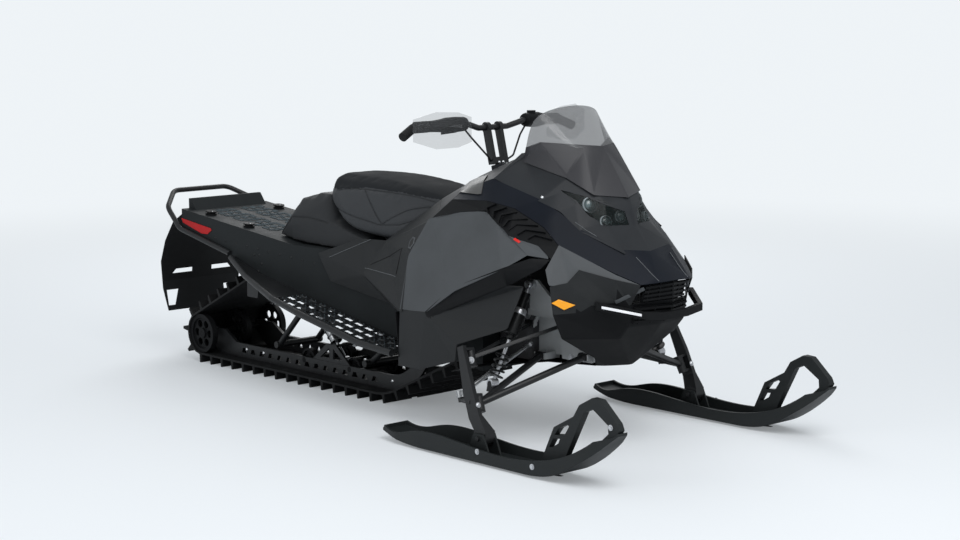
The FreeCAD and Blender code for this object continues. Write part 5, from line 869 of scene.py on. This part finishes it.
# Toe walls: moulded black plates that close the footwells between the running boards' front ends,
# the tunnel and the lower side panels.
toe_place, toe_aim, toe_run = (0.272, 0.306, 0.335), (1.0, 0.0, 0.1), (0.0, 1.0, 0.0)
toe_walls = [
    block(mirrored(toe_place, side), toe_aim, toe_run, length=0.162, width=0.166, height=0.003)
    for side in (-1.0, 1.0)
]
finished(gathered(toe_walls), "toe_walls", "chassis", lower_black)


# Painted highlights and shade: fine light grey lines stand for the light that the moulded panels' edges catch, on the
# hood's lower edge, the beak's ridges and the fairings' borders, and a black line is painted shade for the groove of
# the fairings' pressed triangle.
def draped(node, corners, aim, step=0.012, lift=0.0004, standoff=0.1):
    # Points along a line, laid on a CAD node's skin where the line's aim meets it
    course = []
    for start, end in zip(corners, corners[1:]):
        start, end = Vector(start), Vector(end)
        count = max(1, round((end - start).length / step))
        for n in range(count + 1):
            spot = on_surface(node, start.lerp(end, n / count) - Vector(aim) * standoff, aim)
            if spot is not None:
                course.append(spot[0] + spot[1] * lift)
    return course


# Light grey of the painted highlight lines, and near-black of the painted shade in the fairing groove
painted_highlight_grey = finish("painted_highlight_grey", (0.13, 0.138, 0.146), 0.45, grain=0.1)
painted_groove_shade = finish("painted_groove_shade", (0.005, 0.005, 0.0055), 0.6)
bright_lines = [
    ("cowl_band", (-0.64, 0.0, -0.77),
     [(1.1848, -0.0859, 0.6774), (1.2315, -0.0777, 0.6382), (1.2790, -0.0724, 0.6040)]),
    ("hood", (-0.56, 0.50, -0.65), [(0.9937, -0.1870, 0.7897), (1.0338, -0.1705, 0.7626), (1.0880, -0.1480, 0.7330)]),
    ("seat_fairings", (0.0, 1.0, 0.0), [(-0.3100, -0.24, 0.5500), (-0.0500, -0.24, 0.6450)]),
    ("seat_fairings", (0.0, 1.0, 0.0), [(-0.0738, -0.26, 0.5317), (0.2044, -0.34, 0.5350)]),
]
grooves = [
    ("seat_fairings", (0.0, 1.0, 0.0), [(-0.0463, -0.26, 0.5465), (0.2248, -0.33, 0.6417), (0.2042, -0.34, 0.5434)]),
]
for name, lines, radius, paint in (
    ("painted_highlight_lines", bright_lines, 0.0010, painted_highlight_grey), ("fairing_groove_shade_lines", grooves, 0.0013, painted_groove_shade)
):
    courses = []
    for node, aim, corners in lines:
        for side in (1.0, -1.0):
            courses.append(draped(node, [mirrored(corner, side) for corner in corners], mirrored(aim, side)))
    wire(name, courses, radius, "chassis", paint)

# Console side lenses: smoked beige plastic inserts, thin and softly domed, clipped into the console
# beside the riser.
side_lens_beige = finish("side_lens_beige", (0.070, 0.069, 0.067), 0.34, mottle=0.05, sheen=0.2)
back_low, back_high, front_high, front_low = (
    Vector(corner) for corner in ((0.452, 0.246, 1.2), (0.402, 0.140, 1.2), (0.530, 0.168, 1.2), (0.612, 0.276, 1.2))
)
side_lens_lift, side_lens_wall = Vector((0.0, 0.0, 0.005)), 0.003
side_lenses = []
for side in (-1.0, 1.0):
    shape = bmesh.new()
    bmesh.ops.create_grid(shape, x_segments=8, y_segments=6, size=0.5)
    for corner in shape.verts:
        forward, inward = corner.co.x + 0.5, corner.co.y + 0.5
        spot = mirrored(back_low.lerp(back_high, inward).lerp(front_low.lerp(front_high, inward), forward), side)
        hits = [on_surface(node, spot, (0.0, 0.0, -1.0)) for node in ("console", "cowl_band", "hood")]
        corner.co = max((hit[0] for hit in hits if hit), key=lambda place: place.z) + side_lens_lift
    relaxed(shape, [corner for corner in shape.verts if not corner.is_boundary], 3)
    bmesh.ops.recalc_face_normals(shape, faces=shape.faces)
    bmesh.ops.solidify(shape, geom=shape.faces, thickness=side_lens_wall)
    bmesh.ops.recalc_face_normals(shape, faces=shape.faces)
    side_lenses.append(shape)
finished(gathered(side_lenses), "console_side_lenses", "chassis", side_lens_beige)

# Switch housings: black moulded barrels between the bar's bends and the grips, with the heater and
# light switches, and a knurled rubber sleeve over each grip.
bar_inner, bar_outer, housing_edge = (0.3930, 0.1445, 1.0990), (0.3500, 0.3610, 1.0930), 0.001
housing_profile = [
    (0.011, 0.0), (0.022, 0.002), (0.026, 0.012), (0.0285, 0.050), (0.028, 0.088),
    (0.024, 0.110), (0.0215, 0.135), (0.0205, 0.160), (0.011, 0.160), (0.011, 0.0),
]
rib_start, rib_pitch, rib_count = 0.166, 0.0078, 7
sleeve_profile = [(0.0168, 0.162), (0.0205, 0.163)]
for n in range(rib_count):
    rib = rib_start + n * rib_pitch
    sleeve_profile += [(0.0212, rib), (0.0212, rib + 0.0052), (0.0201, rib + 0.006)]
sleeve_profile += [(0.0168, 0.221), (0.0168, 0.162)]
housings, sleeves = [], []
for side in (-1.0, 1.0):
    start = mirrored(bar_inner, side)
    aim = (mirrored(bar_outer, side) - start).normalized()
    housings.append(turned(housing_profile, start, aim, steps=28))
    sleeves.append(turned(sleeve_profile, start, aim, steps=28))
rounded(
    finished(gathered(housings), "switch_housings", "handlebar", lower_black), housing_edge
)
finished(gathered(sleeves), "grip_sleeves", "handlebar", paints["rubber"])

# Snow flap: one moulded rubber sheet with pressed folds and slots, screwed to the tunnel's end. Its
# lower third is painted paler: painted light for the light its lower folds catch.
flap_rubber = finish("flap_rubber", (0.0055, 0.006, 0.0065), 0.62, grain=0.3, sheen=0.2)
# Paler rubber for the lower third: painted light on the lower folds
painted_light_rubber = finish("painted_light_rubber", (0.011, 0.0118, 0.0125), 0.66, grain=0.3, sheen=0.2)
flap_fold = 0.325
flap_sheet = merged_copy("snow_flap")
bmesh.ops.bisect_plane(
    flap_sheet, geom=flap_sheet.verts[:] + flap_sheet.edges[:] + flap_sheet.faces[:],
    plane_co=(0.0, 0.0, flap_fold), plane_no=(0.0, 0.0, 1.0),
)


def broken(piece):
    # The fine broken edge that a moulded or folded piece has
    return rounded(piece, width=0.0008, segments=1, angle=45.0)


flap = finished(flap_sheet, "snow_flap_sheet", "chassis", flap_rubber, ["snow_flap"])
# The part below the fold takes the paler rubber: painted light on the lower folds
two_tone(flap, painted_light_rubber, lambda place: place.z < flap_fold)
broken(flap)

# Everything else: the folded tunnel and boards, the tubes, arms, rails, wheels and skis keep the form
# of their solids, with broken edges and the finish of what they are made of. The track stays as light
# as it is.
for body, members in frame["record"]["behaviour"]["bodies"].items():
    for node in members:
        if frame["nodes"][node].hide_render:
            continue
        slot = slot_of[node]
        piece = finished(merged_copy(node), node + "_piece", body, paints[slot], [node])
        if node != "track":
            broken(piece)
